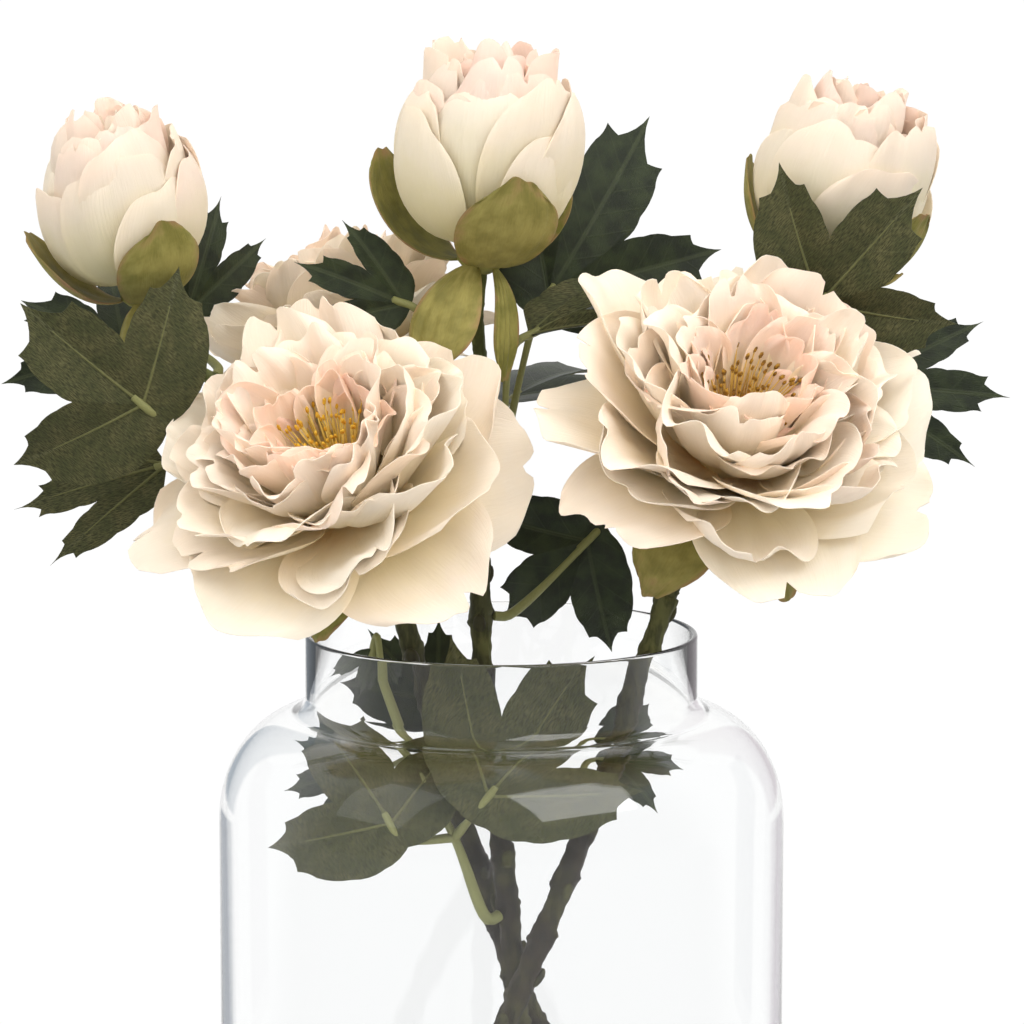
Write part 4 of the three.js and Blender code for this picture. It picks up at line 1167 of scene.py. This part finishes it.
def leaf_ribs(leaf):
    """Moulded ribs on the underside, from the petiole out along each lobe."""
    under = 1 if leaf.get("under") else -1
    parts = []
    for lobe, share in zip(LOBES, RIB_REACH):
        turn = math.radians(lobe * leaf["spread"])
        reach = np.linspace(0, share * leaf["length"], 22)
        x, y = reach * math.cos(turn), reach * math.sin(turn)
        line = np.stack([x, y, leaf_height(leaf, x, y) + under * (LEAF_THICK / 2 + 0.05)], 1)
        rib = limb(line, np.linspace(*RIB_RADII, len(line)), 8)
        parts.append(flat_part(rib, under=1.0, stalk=0.45, **FAR_FROM_RIBS))
    return parts


def leaf_frame(blade):
    """The blade's own frame: +X along its main rib, +Z the way that its face looks."""
    x = unit(blade["toward"])
    z = np.array(blade["facing"], float)
    z = unit(z - x * (z @ x))
    return np.stack([x, np.cross(z, x), z], 0), np.array(blade["at"], float)


def petiole_part(points, radius):
    line = curve_through(points, 34)
    lumps = 0.12 * np.sin(np.linspace(0, 9, len(line)))
    radii = radius * (1 + lumps + 0.35 * np.linspace(1, 0, len(line)) ** 4)
    return flat_part(limb(line, radii * 0.94, 10), under=0.0, stalk=1.0, **FAR_FROM_RIBS)


def limb_point(line, along):
    """The point and the direction at a share of the way along a limb."""
    k = int(round(along * (len(line) - 1)))
    return line[k], unit(line[min(k + 1, len(line) - 1)] - line[k - 1])


def leaf_parts(leaf, lines):
    """All of a leaf: its petiole from the limb that it grows on, blades and ribs."""
    line, radius = lines[leaf["on"]]
    axis, way = limb_point(line, leaf["along"])
    first = np.array(leaf["rachis"][0] if "rachis" in leaf else leaf["at"], float)
    out = first - axis
    out = unit(out - way * (out @ way))
    start = axis + out * (radius(leaf["along"]) + 2 * GAP)
    stub = start + 5 * out
    parts = []
    leaving = [start, stub]
    if "rachis" in leaf:
        parts.append(petiole_part([start, stub, *leaf["rachis"]], PETIOLE_RADIUS * 1.2))
        leaving = [leaf["rachis"][-1]]
    for blade in leaf.get("blades", [leaf]):
        turn, at = leaf_frame(blade)
        for vertices, faces, values, cloth in [leaf_blade(blade), *leaf_ribs(blade)]:
            parts.append((vertices @ turn + at, faces, values, cloth))
        rib = turn[0]
        come = [blade["from"]] if "from" in blade else leaving
        parts.append(petiole_part([*come, at - 6 * rib, at + 4 * rib], PETIOLE_RADIUS))
    return parts


leaf_cloth, tree, shader = new_finish("leaf_cloth", Specular_IOR_Level=0.4)
crepe, fine = woven(tree, 520.0, 0.16), woven(tree, 2600.0, 1.0)
across = math_of(tree, "ABSOLUTE", value_of(tree, "rib_across"))
branch = math_of(tree, "SUBTRACT", value_of(tree, "rib_along"), times(tree, across, 0.9))
cycle = math_of(tree, "FRACT", math_of(tree, "DIVIDE", branch, VEIN_STEP))
off = math_of(tree, "ABSOLUTE", math_of(tree, "SUBTRACT", cycle, 0.5))
side_vein = math_of(tree, "SUBTRACT", 1.0, smooth_step(tree, off, 0.0, 0.07))
main_vein = math_of(tree, "SUBTRACT", 1.0, smooth_step(tree, across, 0.3, 1.0))
vein = math_of(tree, "MAXIMUM", times(tree, side_vein, 0.35), main_vein)
upper = turn_to(tree, crepe["Mottle"], 0.35, 0.7, srgb(36, 46, 26), srgb(56, 68, 38))
upper = blend_of(tree, times(tree, vein, 0.4), upper, srgb(84, 94, 62))
under = turn_to(tree, crepe["Mottle"], 0.35, 0.7, srgb(84, 88, 52), srgb(108, 106, 68))
under = blend_of(tree, times(tree, vein, 0.35), under, srgb(120, 122, 92))
# Painted shade: the underside turns dark olive where the crepe lies low, in its folds.
under = turn_to(tree, crepe["Height"], 0.62, 0.36, under, srgb(58, 60, 36))
faced = blend_of(tree, value_of(tree, "under"), upper, under)
stalked = blend_of(tree, value_of(tree, "stalk"), faced, srgb(150, 152, 98))
# The low colour is painted shade in the weave's grooves.
printed_with_groove_shade(tree, shader, stalked, fine["Height"], srgb(200, 200, 195), 0.6)
matt = math_of(tree, "MULTIPLY_ADD", value_of(tree, "under"), 0.3, 0.46)
link(tree, matt, shader.inputs["Roughness"])
height = math_of(tree, "ADD", crepe["Height"], times(tree, vein, 0.6))
emboss(tree, shader, height, 0.5, 0.0006)

for side, spray in SPRAYS.items():
    lines = {"main": (curve_through([*spray["main"], spray["fork"]], 400), main_radii)}
    for kind in CUP_DEPTH:
        lines[kind] = (curve_through(stalk_points(spray, kind), 400), lambda along: STALK_RADIUS)
    for leaf in LEAVES[side]:
        vertices, faces, marks, cloth = gathered(leaf_parts(leaf, lines))
        name = leaf["name"]
        new_piece(f"foliage_{name}", vertices, faces, leaf_cloth, f"leaf_{name}", "leaf", marks, cloth, 60)
